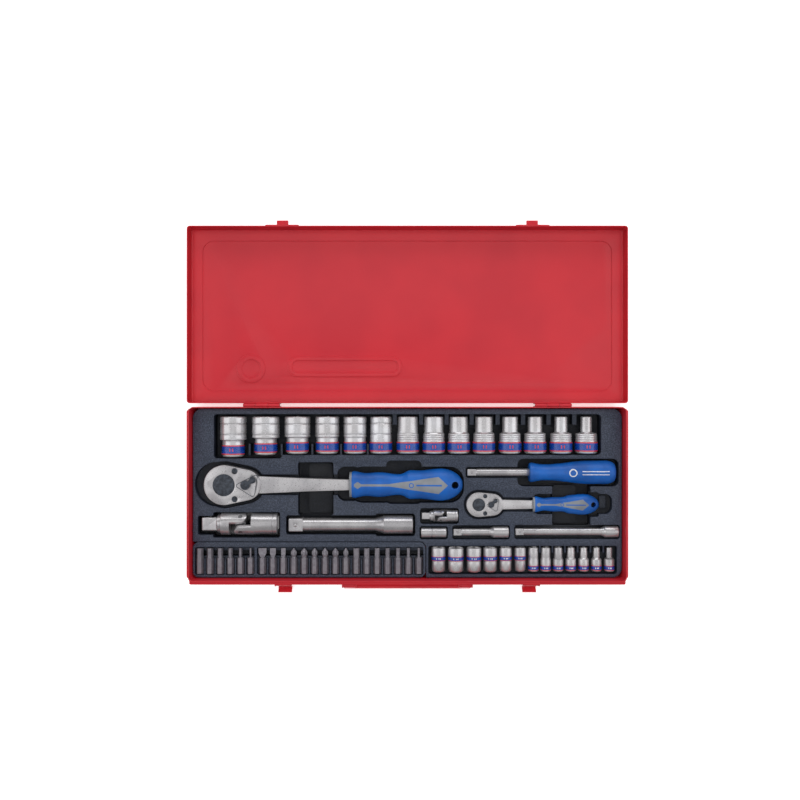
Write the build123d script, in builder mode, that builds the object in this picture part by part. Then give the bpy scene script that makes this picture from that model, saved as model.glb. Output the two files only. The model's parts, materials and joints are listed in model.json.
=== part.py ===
from build123d import *
import os
from dataclasses import dataclass
from math import cos, radians, sin

os.makedirs("parts", exist_ok=True)

# Socket wrench set in a pressed steel case that lies open flat, in millimetres. The origin is the
# centre of the base's underside, +Z is up, +X is to the right and the hinge side is +Y.

# ---------------------------------------------------------------- case sizes
case_width = 419.6
case_depth = 167.2
case_corner = 4.0
sheet = 0.9
ledge_top = 32.0
lip_height = 4.0
side_bead = 2.2
front_bead = 3.4
bead_height = 3.0
bead_end = 3.0
lid_height = 18.0
lid_corner = 3.0
panel_margin = 11.0
panel_press = 1.2
seam = 0.3

# hinges
hinge_spacing = 280.0
hinge_length = 35.0
knuckle_radius = 1.6
pin_radius = 0.8
pin_play = 0.05
leaf_sheet = 0.8
leaf_drop = 12.0
knuckle_side_gap = 0.3

# latches
latch_spacing = 241.0
latch_plate_width = 32.0
latch_plate_height = 13.0
latch_width = 13.6
latch_pivot_height = 22.0
latch_pivot_reach = 4.7
latch_pin_radius = 1.0
latch_barrel_radius = 2.0
latch_open_angle = 138.0
ear_sheet = 1.0
ear_gap = 0.3
catch_width = 11.2
catch_reach = 5.0
catch_height = 38.0

# carry handle
handle_span = 124.0
handle_arm = 11.0
handle_bar = 8.0
handle_thickness = 3.6
handle_drop = 19.0
handle_pivot_height = 24.0
handle_pivot_reach = 5.6
handle_pin_radius = 1.25
handle_plate_width = 26.0
handle_rest_tilt = 17.0
handle_plate_height = 9.0

# trays
tray_gap = 1.1
tray_top = 24.0
tray_wall = 1.2
tray_corner = 9.0
tray_seat = 0.1
bit_tray_right = 17.6
bit_tray_front_depth = 34.0
parting_gap = 0.7
bit_tray_corner = 6.0
loose = 0.3

# drives and other standard sizes
half_drive = 12.7
quarter_drive = 6.35
drive_play = 0.15
bit_hexagon = 6.35
bit_length = 24.5
bit_play = 0.1

case_floor = sheet
lip_top = ledge_top + lip_height
wall_rear = case_depth / 2
wall_front = -case_depth / 2
hinge_y = wall_rear + knuckle_radius + 0.2
hinge_z = ledge_top + seam / 2
lid_width = case_width + 2 * side_bead
lid_front_open = 2 * hinge_y + case_depth / 2 + front_bead
lid_rear_open = 2 * hinge_y - wall_rear
lid_rim = 2 * hinge_z - ledge_top - seam
lid_bottom = lid_rim - lid_height
lid_depth = lid_front_open - lid_rear_open
lid_middle = (lid_front_open + lid_rear_open) / 2
inner_width = case_width - 2 * sheet
inner_depth = case_depth - 2 * sheet
tray_right = inner_width / 2 - tray_gap
tray_rear = inner_depth / 2 - tray_gap

LOW = (Align.CENTER, Align.CENTER, Align.MIN)
ALONG_X = (0, 90, 0)


def along_x(x: float, y: float, z: float) -> Plane:
    """Plane whose normal points to the right, at one end of a part that lies along X."""
    return Plane(origin=(x, y, z), x_dir=(0, 1, 0), z_dir=(1, 0, 0))


def save(piece: BuildPart, node: str) -> None:
    """Label one finished piece and write it as its own STEP file."""
    piece.part.label = node
    export_step(piece.part, f"parts/{node}.step")


# ---------------------------------------------------------------- steel case
with BuildPart() as case_base:
    with BuildSketch():
        RectangleRounded(case_width, case_depth, case_corner)
    extrude(amount=lip_top)
    fillet(case_base.faces().sort_by(Axis.Z)[0].edges(), 1.4)
    # the bead that the lid lands on: two side stretches and a front one, notched at the corners
    with BuildSketch(Plane.XY.offset(ledge_top - bead_height)):
        RectangleRounded(case_width + 2 * side_bead, case_depth - 2 * bead_end, 1.5)
        with Locations((0, (wall_front - front_bead) / 2)):
            RectangleRounded(case_width - 0.6, -wall_front + front_bead, 1.5)
    extrude(amount=bead_height)
    with BuildSketch(Plane.XY.offset(case_floor)):
        RectangleRounded(inner_width, inner_depth, case_corner - sheet)
    extrude(amount=lip_top, mode=Mode.SUBTRACT)
    # no upstand under the lid's rear wall
    with BuildSketch(Plane.XY.offset(ledge_top)):
        with Locations((0, wall_rear)):
            Rectangle(lid_width, 2 * (sheet + 0.7))
    extrude(amount=2 * lip_height, mode=Mode.SUBTRACT)
save(case_base, "case_base")

panel_width = lid_width - 2 * panel_margin
panel_depth = lid_depth - 2 * panel_margin
panel_corner = 12.0
with BuildPart() as lid_hollow:
    with BuildSketch(Plane.XY.offset(lid_bottom + panel_press + sheet)):
        with Locations((0, lid_middle)):
            RectangleRounded(lid_width - 2 * sheet, lid_depth - 2 * sheet, lid_corner - sheet)
    extrude(amount=lid_height)
    fillet(lid_hollow.faces().sort_by(Axis.Z)[0].edges(), 1.5)
    with BuildSketch(Plane.XY.offset(lid_bottom + sheet)):
        with Locations((0, lid_middle)):
            RectangleRounded(panel_width - 2 * sheet, panel_depth - 2 * sheet, panel_corner - sheet)
    extrude(amount=2 * panel_press)

with BuildPart() as case_lid:
    with BuildSketch(Plane.XY.offset(lid_bottom + panel_press)):
        with Locations((0, lid_middle)):
            RectangleRounded(lid_width, lid_depth, lid_corner)
    extrude(amount=lid_height - panel_press)
    fillet(case_lid.faces().sort_by(Axis.Z)[0].edges(), 2.4)
    with BuildSketch(Plane.XY.offset(lid_bottom)):
        with Locations((0, lid_middle)):
            RectangleRounded(panel_width, panel_depth, panel_corner)
    extrude(amount=2 * panel_press)
    add(lid_hollow.part, mode=Mode.SUBTRACT)
    # plain pressed mark: a ring beside a long rounded frame
    with BuildSketch(Plane.XY.offset(lid_bottom + sheet - 0.1)):
        with Locations((-153.0, 121.0)):
            Circle(14)
            Circle(9, mode=Mode.SUBTRACT)
        with Locations((-61.0, 123.0)):
            SlotOverall(112, 20)
            SlotOverall(104, 12, mode=Mode.SUBTRACT)
    extrude(amount=0.7)
save(case_lid, "case_lid")

hinge_places = (-hinge_spacing / 2, hinge_spacing / 2)
knuckle_length = hinge_length / 3
leaf_notch = knuckle_radius + 0.4

with BuildPart() as hinge_base_leaves:
    for place in hinge_places:
        with Locations((place, wall_rear + leaf_sheet / 2, hinge_z)):
            Box(hinge_length, leaf_sheet, leaf_drop, align=(Align.CENTER, Align.CENTER, Align.MAX))
        for side in (-1, 1):
            with Locations((place + side * knuckle_length, hinge_y, hinge_z)):
                Cylinder(knuckle_radius, knuckle_length, rotation=ALONG_X)
        with Locations((place, wall_rear, hinge_z)):
            notch = (knuckle_length + 2 * knuckle_side_gap, 4 * knuckle_radius, 2 * leaf_notch)
            Box(*notch, mode=Mode.SUBTRACT)
        with Locations((place, hinge_y, hinge_z)):
            Cylinder(pin_radius + pin_play, 2 * hinge_length, rotation=ALONG_X, mode=Mode.SUBTRACT)
save(hinge_base_leaves, "hinge_base_leaves")

with BuildPart() as hinge_lid_leaves:
    for place in hinge_places:
        with Locations((place, lid_rear_open - leaf_sheet / 2, hinge_z)):
            Box(hinge_length, leaf_sheet, leaf_drop, align=(Align.CENTER, Align.CENTER, Align.MAX))
        for side in (-1, 1):
            with Locations((place + side * knuckle_length, lid_rear_open, hinge_z)):
                Box(
                    knuckle_length + 2 * knuckle_side_gap,
                    4 * knuckle_radius,
                    2 * leaf_notch,
                    mode=Mode.SUBTRACT,
                )
        with Locations((place, hinge_y, hinge_z)):
            Cylinder(knuckle_radius, knuckle_length, rotation=ALONG_X)
            Cylinder(pin_radius + pin_play, 2 * hinge_length, rotation=ALONG_X, mode=Mode.SUBTRACT)
save(hinge_lid_leaves, "hinge_lid_leaves")

with BuildPart() as hinge_pins:
    for place in hinge_places:
        with Locations((place, hinge_y, hinge_z)):
            Cylinder(pin_radius, hinge_length + 0.6, rotation=ALONG_X)
save(hinge_pins, "hinge_pins")


# ---------------------------------------------------------------- latches and catches
latch_places = (-latch_spacing / 2, latch_spacing / 2)
latch_y = wall_front - latch_pivot_reach
latch_z = latch_pivot_height
ear_height = 5.0

with BuildPart() as lid_catches:
    # the closed catch turned half round the hinge, as the lid lies open
    plate_bottom = 2 * hinge_z - catch_height - 5.0
    tab_z = 2 * hinge_z - catch_height
    for place in latch_places:
        with Locations((place, lid_front_open, plate_bottom)):
            Box(latch_plate_width, sheet, 10.4, align=(Align.CENTER, Align.MIN, Align.MIN))
        with Locations((place, lid_front_open, tab_z)):
            Box(catch_width, sheet + catch_reach, 1.0, align=(Align.CENTER, Align.MIN, Align.MIN))
save(lid_catches, "lid_catches")

with BuildPart() as latch_brackets:
    for place in latch_places:
        with Locations((place, wall_front, latch_z - latch_plate_height / 2)):
            Box(latch_plate_width, sheet, latch_plate_height, align=(Align.CENTER, Align.MAX, Align.MIN))
        for side in (-1, 1):
            ear_x = place + side * (latch_width / 2 + ear_gap + ear_sheet / 2)
            with BuildSketch(along_x(ear_x - ear_sheet / 2, latch_y, latch_z)):
                Circle(ear_height / 2)
                with Locations((latch_pivot_reach / 2, 0)):
                    Rectangle(latch_pivot_reach, ear_height)
                Circle(latch_pin_radius + pin_play, mode=Mode.SUBTRACT)
            extrude(amount=ear_sheet)
save(latch_brackets, "latch_brackets")

with BuildPart() as latch_pins:
    for place in latch_places:
        with Locations((place, latch_y, latch_z)):
            Cylinder(latch_pin_radius, latch_width + 2 * (ear_gap + ear_sheet) + 0.6, rotation=ALONG_X)
save(latch_pins, "latch_pins")

# the hook passes over the catch's outer end, measured from the latch pivot
catch_top = catch_height - latch_z
catch_end = catch_reach + sheet + front_bead - latch_pivot_reach
hook_inside = (catch_top**2 + catch_end**2) ** 0.5 + 0.3
lever_inside = catch_end + 1.2
lever_sheet = 1.0
for node, place in zip(("latch_left", "latch_right"), latch_places):
    turn = radians(latch_open_angle)
    lever_plane = Plane(
        origin=(place - latch_width / 2, latch_y, latch_z), x_dir=(0, cos(turn), sin(turn)), z_dir=(1, 0, 0)
    )
    with BuildPart() as latch_lever:
        with BuildSketch(lever_plane):
            with BuildLine():
                Polyline(
                    (-latch_barrel_radius, 0),
                    (-lever_inside - lever_sheet, catch_top - 2.0),
                    (-lever_inside - lever_sheet, hook_inside + lever_sheet),
                    (-0.8, hook_inside + lever_sheet),
                    (-0.8, hook_inside),
                    (-lever_inside, hook_inside),
                    (-lever_inside, catch_top - 1.8),
                    (-latch_barrel_radius + lever_sheet, 0.3),
                    close=True,
                )
            make_face()
            Circle(latch_barrel_radius)
            Circle(latch_pin_radius + pin_play, mode=Mode.SUBTRACT)
        extrude(amount=latch_width)
    save(latch_lever, node)


# ---------------------------------------------------------------- carry handle
handle_y = wall_front - handle_pivot_reach
handle_places = (-handle_span / 2 + handle_arm / 2, handle_span / 2 - handle_arm / 2)
arm_barrel = 2.6

with BuildPart() as handle_brackets:
    for place in handle_places:
        with Locations((place, wall_front, handle_pivot_height)):
            Box(handle_plate_width, sheet, handle_plate_height, align=(Align.CENTER, Align.MAX, Align.CENTER))
        for side in (-1, 1):
            ear_x = place + side * (handle_arm / 2 + ear_gap + ear_sheet / 2)
            with BuildSketch(along_x(ear_x - ear_sheet / 2, handle_y, handle_pivot_height)):
                Circle(arm_barrel)
                with Locations((handle_pivot_reach / 2, 0)):
                    Rectangle(handle_pivot_reach, 2 * arm_barrel)
            extrude(amount=ear_sheet)
        with Locations((place, handle_y, handle_pivot_height)):
            Cylinder(handle_pin_radius, handle_arm + 2 * (ear_gap + ear_sheet), rotation=ALONG_X)
save(handle_brackets, "handle_brackets")

with BuildPart() as carry_handle:
    lean = radians(handle_rest_tilt)
    inner_face = (
        0,
        handle_y + handle_thickness / 2 * cos(lean),
        handle_pivot_height - handle_thickness / 2 * sin(lean),
    )
    handle_plane = Plane(origin=inner_face, x_dir=(1, 0, 0), z_dir=(0, -cos(lean), sin(lean)))
    with BuildSketch(handle_plane):
        with Locations((0, -handle_drop / 2)):
            Rectangle(handle_span, handle_drop)
        with Locations((0, (handle_bar - handle_drop) / 2 + 1)):
            Rectangle(handle_span - 2 * handle_arm, handle_drop - handle_bar + 2, mode=Mode.SUBTRACT)
    extrude(amount=handle_thickness)
    fillet(carry_handle.edges().filter_by(Axis.X).sort_by(Axis.Z)[:2], 1.6)
    for place in handle_places:
        with Locations((place, handle_y, handle_pivot_height)):
            Cylinder(arm_barrel - 0.1, handle_arm, rotation=ALONG_X)
            Cylinder(handle_pin_radius + pin_play, handle_arm, rotation=ALONG_X, mode=Mode.SUBTRACT)
save(carry_handle, "carry_handle")


# ---------------------------------------------------------------- shapes that several tools share
def along_y(x: float, y: float, z: float) -> Plane:
    """Plane whose normal points towards the hinge, at one end of a part that lies along Y."""
    return Plane(origin=(x, y, z), x_dir=(1, 0, 0), z_dir=(0, 1, 0))


def turned(axis_plane: Plane, outline: list[tuple[float, float]]) -> None:
    """Revolve a stepped outline of (distance, radius) pairs about the plane's normal."""
    half = Plane(origin=axis_plane.origin, x_dir=axis_plane.z_dir, z_dir=axis_plane.x_dir)
    first, last = outline[0], outline[-1]
    with BuildSketch(half) as profile:
        with BuildLine():
            Polyline((first[0], 0), *outline, (last[0], 0), close=True)
        make_face()
    revolve(profile.sketch, axis=Axis(axis_plane.origin, axis_plane.z_dir))


def square_cavity(mouth: Plane, size: float, depth: float) -> None:
    """Cut a square drive cavity from its mouth, against the plane's normal."""
    with BuildSketch(mouth) as profile:
        Rectangle(size + 2 * drive_play, size + 2 * drive_play)
    extrude(profile.sketch, amount=-depth, mode=Mode.SUBTRACT)


def drive_square(root: Plane, size: float, length: float, ball_normal: Vector) -> None:
    """Add a drive square along the plane's normal, with a detent ball let into one of its faces."""
    with BuildSketch(root) as profile:
        RectangleRounded(size, size, size * 0.09)
    extrude(profile.sketch, amount=length)
    end = root.origin + root.z_dir * length
    tips = [face for face in faces(Select.LAST) if (face.center() - end).length < size * 0.01]
    chamfer(tips[0].edges(), size * 0.07)
    ball = size * 0.15
    centre = root.origin + root.z_dir * (length * 0.5) + ball_normal * (size / 2 - ball * 0.45)
    with Locations(centre):
        Sphere(ball + 0.08, mode=Mode.SUBTRACT)
        Sphere(ball)


# ---------------------------------------------------------------- 1/2 inch sockets
@dataclass
class SocketSize:
    """One socket: its hexagon, its outer diameter at the mouth, and its place along the row."""

    hexagon: float
    outer: float
    x: float
    length: float = 36.0


half_sockets = (
    SocketSize(20.0, 25.6, -169.5, 39.0),
    SocketSize(19.0, 26.8, -137.7, 37.0),
    SocketSize(18.0, 25.2, -107.0),
    SocketSize(17.0, 23.5, -78.0),
    SocketSize(16.0, 22.5, -51.0),
    SocketSize(15.0, 21.0, -25.8),
    SocketSize(14.0, 19.6, 0.6),
    SocketSize(13.0, 18.9, 25.9),
    SocketSize(12.0, 18.0, 50.3),
    SocketSize(11.0, 17.3, 74.8),
    SocketSize(10.0, 15.4, 100.3),
    SocketSize(9.0, 14.2, 124.7),
    SocketSize(8.0, 12.8, 150.0),
    SocketSize(7.0, 11.2, 174.7),
)
half_mouth_y = 74.2
half_neck = 21.2
half_band = 22.4
half_body = 21.0
half_pocket_floor = 6.0
half_hexagon_depth = 15.0
half_square_depth = 15.0


def half_axis_height(size: SocketSize) -> float:
    """Height of a socket's axis as it lies on the pocket floor."""
    return half_pocket_floor + max(size.outer, half_band) / 2 + loose


for size in half_sockets:
    z = half_axis_height(size)
    wide = size.outer / 2
    band_start = size.length - 11.0
    if size.hexagon > 15.5:
        # large hexagon end with two turned grooves, a waist, and the band at the drive end
        outline = [
            (0, wide - 0.6),
            (0.6, wide),
            (6.8, wide),
            (7.0, wide - 0.3),
            (7.5, wide - 0.3),
            (7.7, wide),
            (17.0, wide),
            (17.2, wide - 0.3),
            (17.7, wide - 0.3),
            (17.9, wide),
            (band_start - 5.0, wide),
            (band_start - 4.2, half_neck / 2),
            (band_start, half_neck / 2),
        ]
    elif size.outer > half_body - 0.5:
        outline = [
            (0, wide - 0.6),
            (0.6, wide),
            (6.3, wide),
            (6.5, wide - 0.3),
            (7.0, wide - 0.3),
            (7.2, wide),
            (16.9, wide),
            (17.1, wide - 0.3),
            (17.6, wide - 0.3),
            (17.8, wide),
            (band_start, wide),
        ]
    else:
        outline = [
            (0, wide - 0.5),
            (0.5, wide),
            (14.8, wide),
            (16.4, half_body / 2 - 0.3),
            (16.8, half_body / 2),
            (band_start, half_body / 2),
        ]
    outline += [
        (band_start + 0.2, half_band / 2),
        (size.length - 2.6, half_band / 2),
        (size.length - 2.4, half_body / 2),
        (size.length - 1.2, half_body / 2),
        (size.length, half_body / 2 - 1.2),
    ]
    mouth = Plane(origin=(size.x, half_mouth_y, z), x_dir=(1, 0, 0), z_dir=(0, -1, 0))
    with BuildPart() as half_socket:
        turned(mouth, outline)
        with BuildSketch(mouth):
            RegularPolygon(size.hexagon / 2 + 0.05, 6, major_radius=False)
        extrude(amount=half_hexagon_depth, mode=Mode.SUBTRACT)
        with BuildSketch(mouth):
            Circle(min(size.hexagon, half_drive) / 2 - 0.4)
        extrude(amount=size.length, mode=Mode.SUBTRACT)
        square_cavity(mouth.offset(size.length), half_drive, half_square_depth)
    save(half_socket, f"socket_half_{size.hexagon:.0f}mm")


# ---------------------------------------------------------------- 1/4 inch sockets
wide_sockets = (
    SocketSize(13.0, 15.4, 47.1, 23.4),
    SocketSize(12.0, 14.6, 64.7, 23.4),
    SocketSize(11.0, 13.8, 30.3, 23.4),
    SocketSize(10.0, 13.6, 80.5, 23.4),
    SocketSize(9.0, 12.2, 95.6, 23.4),
    SocketSize(8.0, 11.3, 109.8, 23.4),
)
slim_sockets = (
    SocketSize(7.0, 9.7, 122.7, 23.4),
    SocketSize(6.0, 9.2, 134.8, 23.4),
    SocketSize(5.5, 8.3, 146.9, 23.4),
    SocketSize(5.0, 7.7, 159.2, 23.4),
    SocketSize(4.5, 7.2, 171.7, 23.4),
    SocketSize(4.0, 6.8, 184.1, 23.4),
    SocketSize(3.2, 6.3, 196.6, 23.4),
)
quarter_mouth_y = -53.0
quarter_body = 10.4
quarter_pocket_floor = 14.0
quarter_hexagon_depth = 10.0
quarter_square_depth = 8.5


def quarter_plane(size: SocketSize) -> Plane:
    """Mouth plane of a 1/4 inch socket that lies on its pocket floor, mouth towards the hinge."""
    z = quarter_pocket_floor + max(size.outer, quarter_body) / 2 + loose
    return Plane(origin=(size.x, quarter_mouth_y, z), x_dir=(1, 0, 0), z_dir=(0, -1, 0))


def quarter_cavities(size: SocketSize) -> None:
    """Cut the hexagon, the bore behind it and the square drive of a 1/4 inch socket."""
    mouth = quarter_plane(size)
    with BuildSketch(mouth) as hexagon:
        RegularPolygon(size.hexagon / 2 + 0.05, 6, major_radius=False)
    extrude(hexagon.sketch, amount=quarter_hexagon_depth, mode=Mode.SUBTRACT)
    with BuildSketch(mouth) as bore:
        Circle(min(size.hexagon, quarter_drive) / 2 - 0.15)
    extrude(bore.sketch, amount=size.length, mode=Mode.SUBTRACT)
    end = mouth.offset(size.length)
    square_cavity(end, quarter_drive, quarter_square_depth)


with BuildPart() as quarter_wide:
    for size in wide_sockets:
        wide = size.outer / 2
        outline = [
            (0, wide - 0.4),
            (0.4, wide),
            (8.0, wide),
            (8.0, wide + 0.25),
            (12.2, wide + 0.25),
            (12.2, wide - 0.5),
            (size.length - 1.8, wide - 0.5),
            (size.length - 0.6, wide - 1.1),
            (size.length, wide - 1.9),
        ]
        turned(quarter_plane(size), outline)
        quarter_cavities(size)
save(quarter_wide, "sockets_quarter_wide")

with BuildPart() as quarter_slim:
    for size in slim_sockets:
        thin = size.outer / 2
        body = quarter_body / 2
        outline = [
            (0, thin - 0.3),
            (0.3, thin),
            (9.2, thin),
            (10.4, body - 0.2),
            (10.6, body),
            (17.8, body),
            (17.8, body + 0.2),
            (22.0, body + 0.2),
            (22.0, body - 0.1),
            (size.length, body - 1.2),
        ]
        turned(quarter_plane(size), outline)
        quarter_cavities(size)
save(quarter_slim, "sockets_quarter_slim")


# ---------------------------------------------------------------- bits
bit_tip_y = -53.4
bit_pocket_floor = 19.0
bit_z = bit_pocket_floor + bit_hexagon / 2 + loose
first_bit_x = -201.3
first_bit_pitch = 9.84
second_bit_x = -140.5
second_bit_pitch = 10.11
shank_length = 15.0
key_bits = (6.0, 5.5, 5.0, 4.0, 3.0, 2.0)
blade_bits = (7.6, 5.6, 4.2)
cross_bits = (5.6, 6.2, 5.4, 5.8, 5.8, 4.8)
star_bits = (6.2, 5.7, 5.1, 4.4, 3.9, 3.2, 2.5)


def bit_shank(x: float) -> None:
    """Add one bit's hexagon shank, which lies with a flat on the tray."""
    butt = along_y(x, bit_tip_y - bit_length, bit_z)
    with BuildSketch(butt) as hexagon:
        RegularPolygon(bit_hexagon / 2, 6, major_radius=False)
    extrude(hexagon.sketch, amount=shank_length)
    turned(butt.offset(shank_length), [(0, bit_hexagon / 2), (0.8, bit_hexagon / 2 - 0.8)])


def bit_nose(x: float) -> Plane:
    """Plane at the front of a bit's shank, from which its working end starts."""
    return along_y(x, bit_tip_y - bit_length + shank_length, bit_z)


nose_length = bit_length - shank_length
with BuildPart() as bits_key:
    for number, key in enumerate(key_bits):
        x = first_bit_x + number * first_bit_pitch
        bit_shank(x)
        with BuildSketch(bit_nose(x)):
            RegularPolygon(key / 2, 6, major_radius=False)
        extrude(amount=nose_length)

with BuildPart() as bits_shaped:
    for number, width in enumerate(blade_bits):
        x = second_bit_x + number * second_bit_pitch
        bit_shank(x)
        turned(bit_nose(x), [(0, 2.0), (3.0, 2.0)])
        with BuildSketch(bit_nose(x).offset(1.0)):
            Rectangle(3.6, 2.6)
        with BuildSketch(bit_nose(x).offset(4.5)):
            Rectangle(width, 1.6)
        with BuildSketch(bit_nose(x).offset(nose_length)):
            Rectangle(width, 0.9)
        loft(ruled=True)
    for number, width in enumerate(cross_bits):
        x = second_bit_x + (number + len(blade_bits)) * second_bit_pitch
        bit_shank(x)
        wide = width / 2
        turned(bit_nose(x), [(0, 2.4), (1.0, wide - 0.5), (3.0, wide), (6.0, wide), (nose_length, 0.7)])
        for angle in (45, 135, 225, 315):
            outward = (cos(radians(angle)), 0, sin(radians(angle)))
            flute = Plane(origin=bit_nose(x).origin, x_dir=outward, z_dir=(0, 1, 0))
            with BuildSketch(flute.offset(3.4)):
                with Locations((wide + 0.45, 0)):
                    Rectangle(wide, wide, rotation=45)
            extrude(amount=nose_length, mode=Mode.SUBTRACT)
    for number, width in enumerate(star_bits):
        x = second_bit_x + (number + len(blade_bits) + len(cross_bits)) * second_bit_pitch
        bit_shank(x)
        with BuildSketch(bit_nose(x)):
            Circle(width / 2)
            with PolarLocations(width / 2 + width * 0.05, 6):
                Circle(width * 0.13, mode=Mode.SUBTRACT)
        extrude(amount=nose_length)
save(bits_key, "bits_hexagon_key")
save(bits_shaped, "bits_shaped_tip")


# ---------------------------------------------------------------- extensions and the bit adapter
@dataclass
class ExtensionSize:
    """One extension bar: its left end, length, place and diameters."""

    node: str
    drive: float
    x: float
    y: float
    z: float
    length: float
    square: float
    shaft: float
    head: float
    head_length: float
    taper: float


half_extension_floor = 10.0
quarter_bar_floor = 15.0
extensions = (
    ExtensionSize(
        node="extension_half",
        drive=half_drive,
        x=-115.2,
        y=-30.8,
        z=half_extension_floor + 9.3,
        length=120.6,
        square=13.6,
        shaft=12.6,
        head=18.0,
        head_length=28.6,
        taper=8.0,
    ),
    ExtensionSize(
        node="extension_quarter_short",
        drive=quarter_drive,
        x=44.8,
        y=-38.0,
        z=quarter_bar_floor + 6.0,
        length=53.4,
        square=7.6,
        shaft=7.4,
        head=11.4,
        head_length=15.0,
        taper=3.0,
    ),
    ExtensionSize(
        node="extension_quarter_long",
        drive=quarter_drive,
        x=104.9,
        y=-37.6,
        z=quarter_bar_floor + 6.0,
        length=99.8,
        square=7.6,
        shaft=7.4,
        head=11.4,
        head_length=13.4,
        taper=3.4,
    ),
)
for bar in extensions:
    shoulder = bar.length - bar.square
    head_start = shoulder - bar.head_length
    with BuildPart() as extension:
        turned(
            along_x(bar.x + bar.square, bar.y, bar.z),
            [
                (0, bar.drive * 0.5),
                (0.8, bar.shaft / 2),
                (head_start - bar.taper, bar.shaft / 2),
                (head_start, bar.head / 2 - 0.3),
                (head_start + 0.3, bar.head / 2),
                (shoulder - 0.6, bar.head / 2),
                (shoulder, bar.head / 2 - 0.6),
            ],
        )
        square_cavity(along_x(bar.x + bar.length, bar.y, bar.z), bar.drive, bar.drive * 1.2)
        root = Plane(origin=(bar.x + bar.square + 0.2, bar.y, bar.z), x_dir=(0, 0, 1), z_dir=(-1, 0, 0))
        drive_square(root, bar.drive, bar.square + 0.2, Vector(0, 0, 1))
    save(extension, bar.node)

adapter_x = 13.4
adapter_y = -38.4
adapter_z = 21.2
adapter_length = 24.4
adapter_radius = 4.9
with BuildPart() as bit_adapter:
    turned(
        along_x(adapter_x, adapter_y, adapter_z),
        [
            (0, adapter_radius - 0.4),
            (0.4, adapter_radius),
            (9.6, adapter_radius),
            (9.8, adapter_radius - 0.3),
            (10.8, adapter_radius - 0.3),
            (11.0, adapter_radius),
            (adapter_length - 0.4, adapter_radius),
            (adapter_length, adapter_radius - 0.4),
        ],
    )
    square_cavity(along_x(adapter_x + adapter_length, adapter_y, adapter_z), quarter_drive, 9.0)
    with BuildSketch(along_x(adapter_x, adapter_y, adapter_z)):
        RegularPolygon(bit_hexagon / 2 + bit_play, 6, major_radius=False)
    extrude(amount=11.0, mode=Mode.SUBTRACT)
    with BuildSketch(along_x(adapter_x, adapter_y, adapter_z)):
        Circle(2.6)
    extrude(amount=adapter_length, mode=Mode.SUBTRACT)
save(bit_adapter, "bit_adapter")


# ---------------------------------------------------------------- universal joints
@dataclass
class JointSize:
    """One universal joint, laid along X with its drive square to the left, rolled 45 degrees."""

    name: str
    drive: float
    left: float
    length: float
    centre: float
    y: float
    z: float
    square: float
    outer: float
    arm: float
    tip: float
    base_gap: float
    pin: float


universal_joints = (
    JointSize("half", half_drive, -199.0, 73.2, -161.4, -29.8, 19.3, 14.3, 22.0, 4.6, 5.9, 10.6, 2.0),
    JointSize("quarter", quarter_drive, 14.0, 35.0, 32.3, -22.2, 20.4, 7.6, 12.2, 2.6, 3.1, 6.0, 1.1),
)


def fork(size: JointSize, facing: int, roll: float) -> None:
    """Add a yoke's two rounded arms, which reach past the joint's centre, with their pin holes."""
    pin_dir = Vector(0, cos(radians(roll)), sin(radians(roll)))
    plane = Plane(origin=(size.centre, size.y, size.z), x_dir=(1, 0, 0), z_dir=pin_dir)
    inside = size.outer / 2 - size.arm
    for side in (-1, 1):
        with BuildSketch(plane.offset(side * inside)) as arm:
            Circle(size.tip)
            with Locations((-facing * size.base_gap / 2, 0)):
                Rectangle(size.base_gap + 1.0, 2 * size.tip)
        extrude(arm.sketch, amount=side * size.arm)


def pin_holes(size: JointSize, roll: float) -> None:
    """Cut the round shape of the yoke's outside and the holes for the cross's pins."""
    pin_dir = Vector(0, cos(radians(roll)), sin(radians(roll)))
    plane = Plane(origin=(size.centre, size.y, size.z), x_dir=(1, 0, 0), z_dir=pin_dir)
    with BuildSketch(plane) as hole:
        Circle(size.pin + pin_play)
    extrude(hole.sketch, amount=size.outer, both=True, mode=Mode.SUBTRACT)


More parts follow.
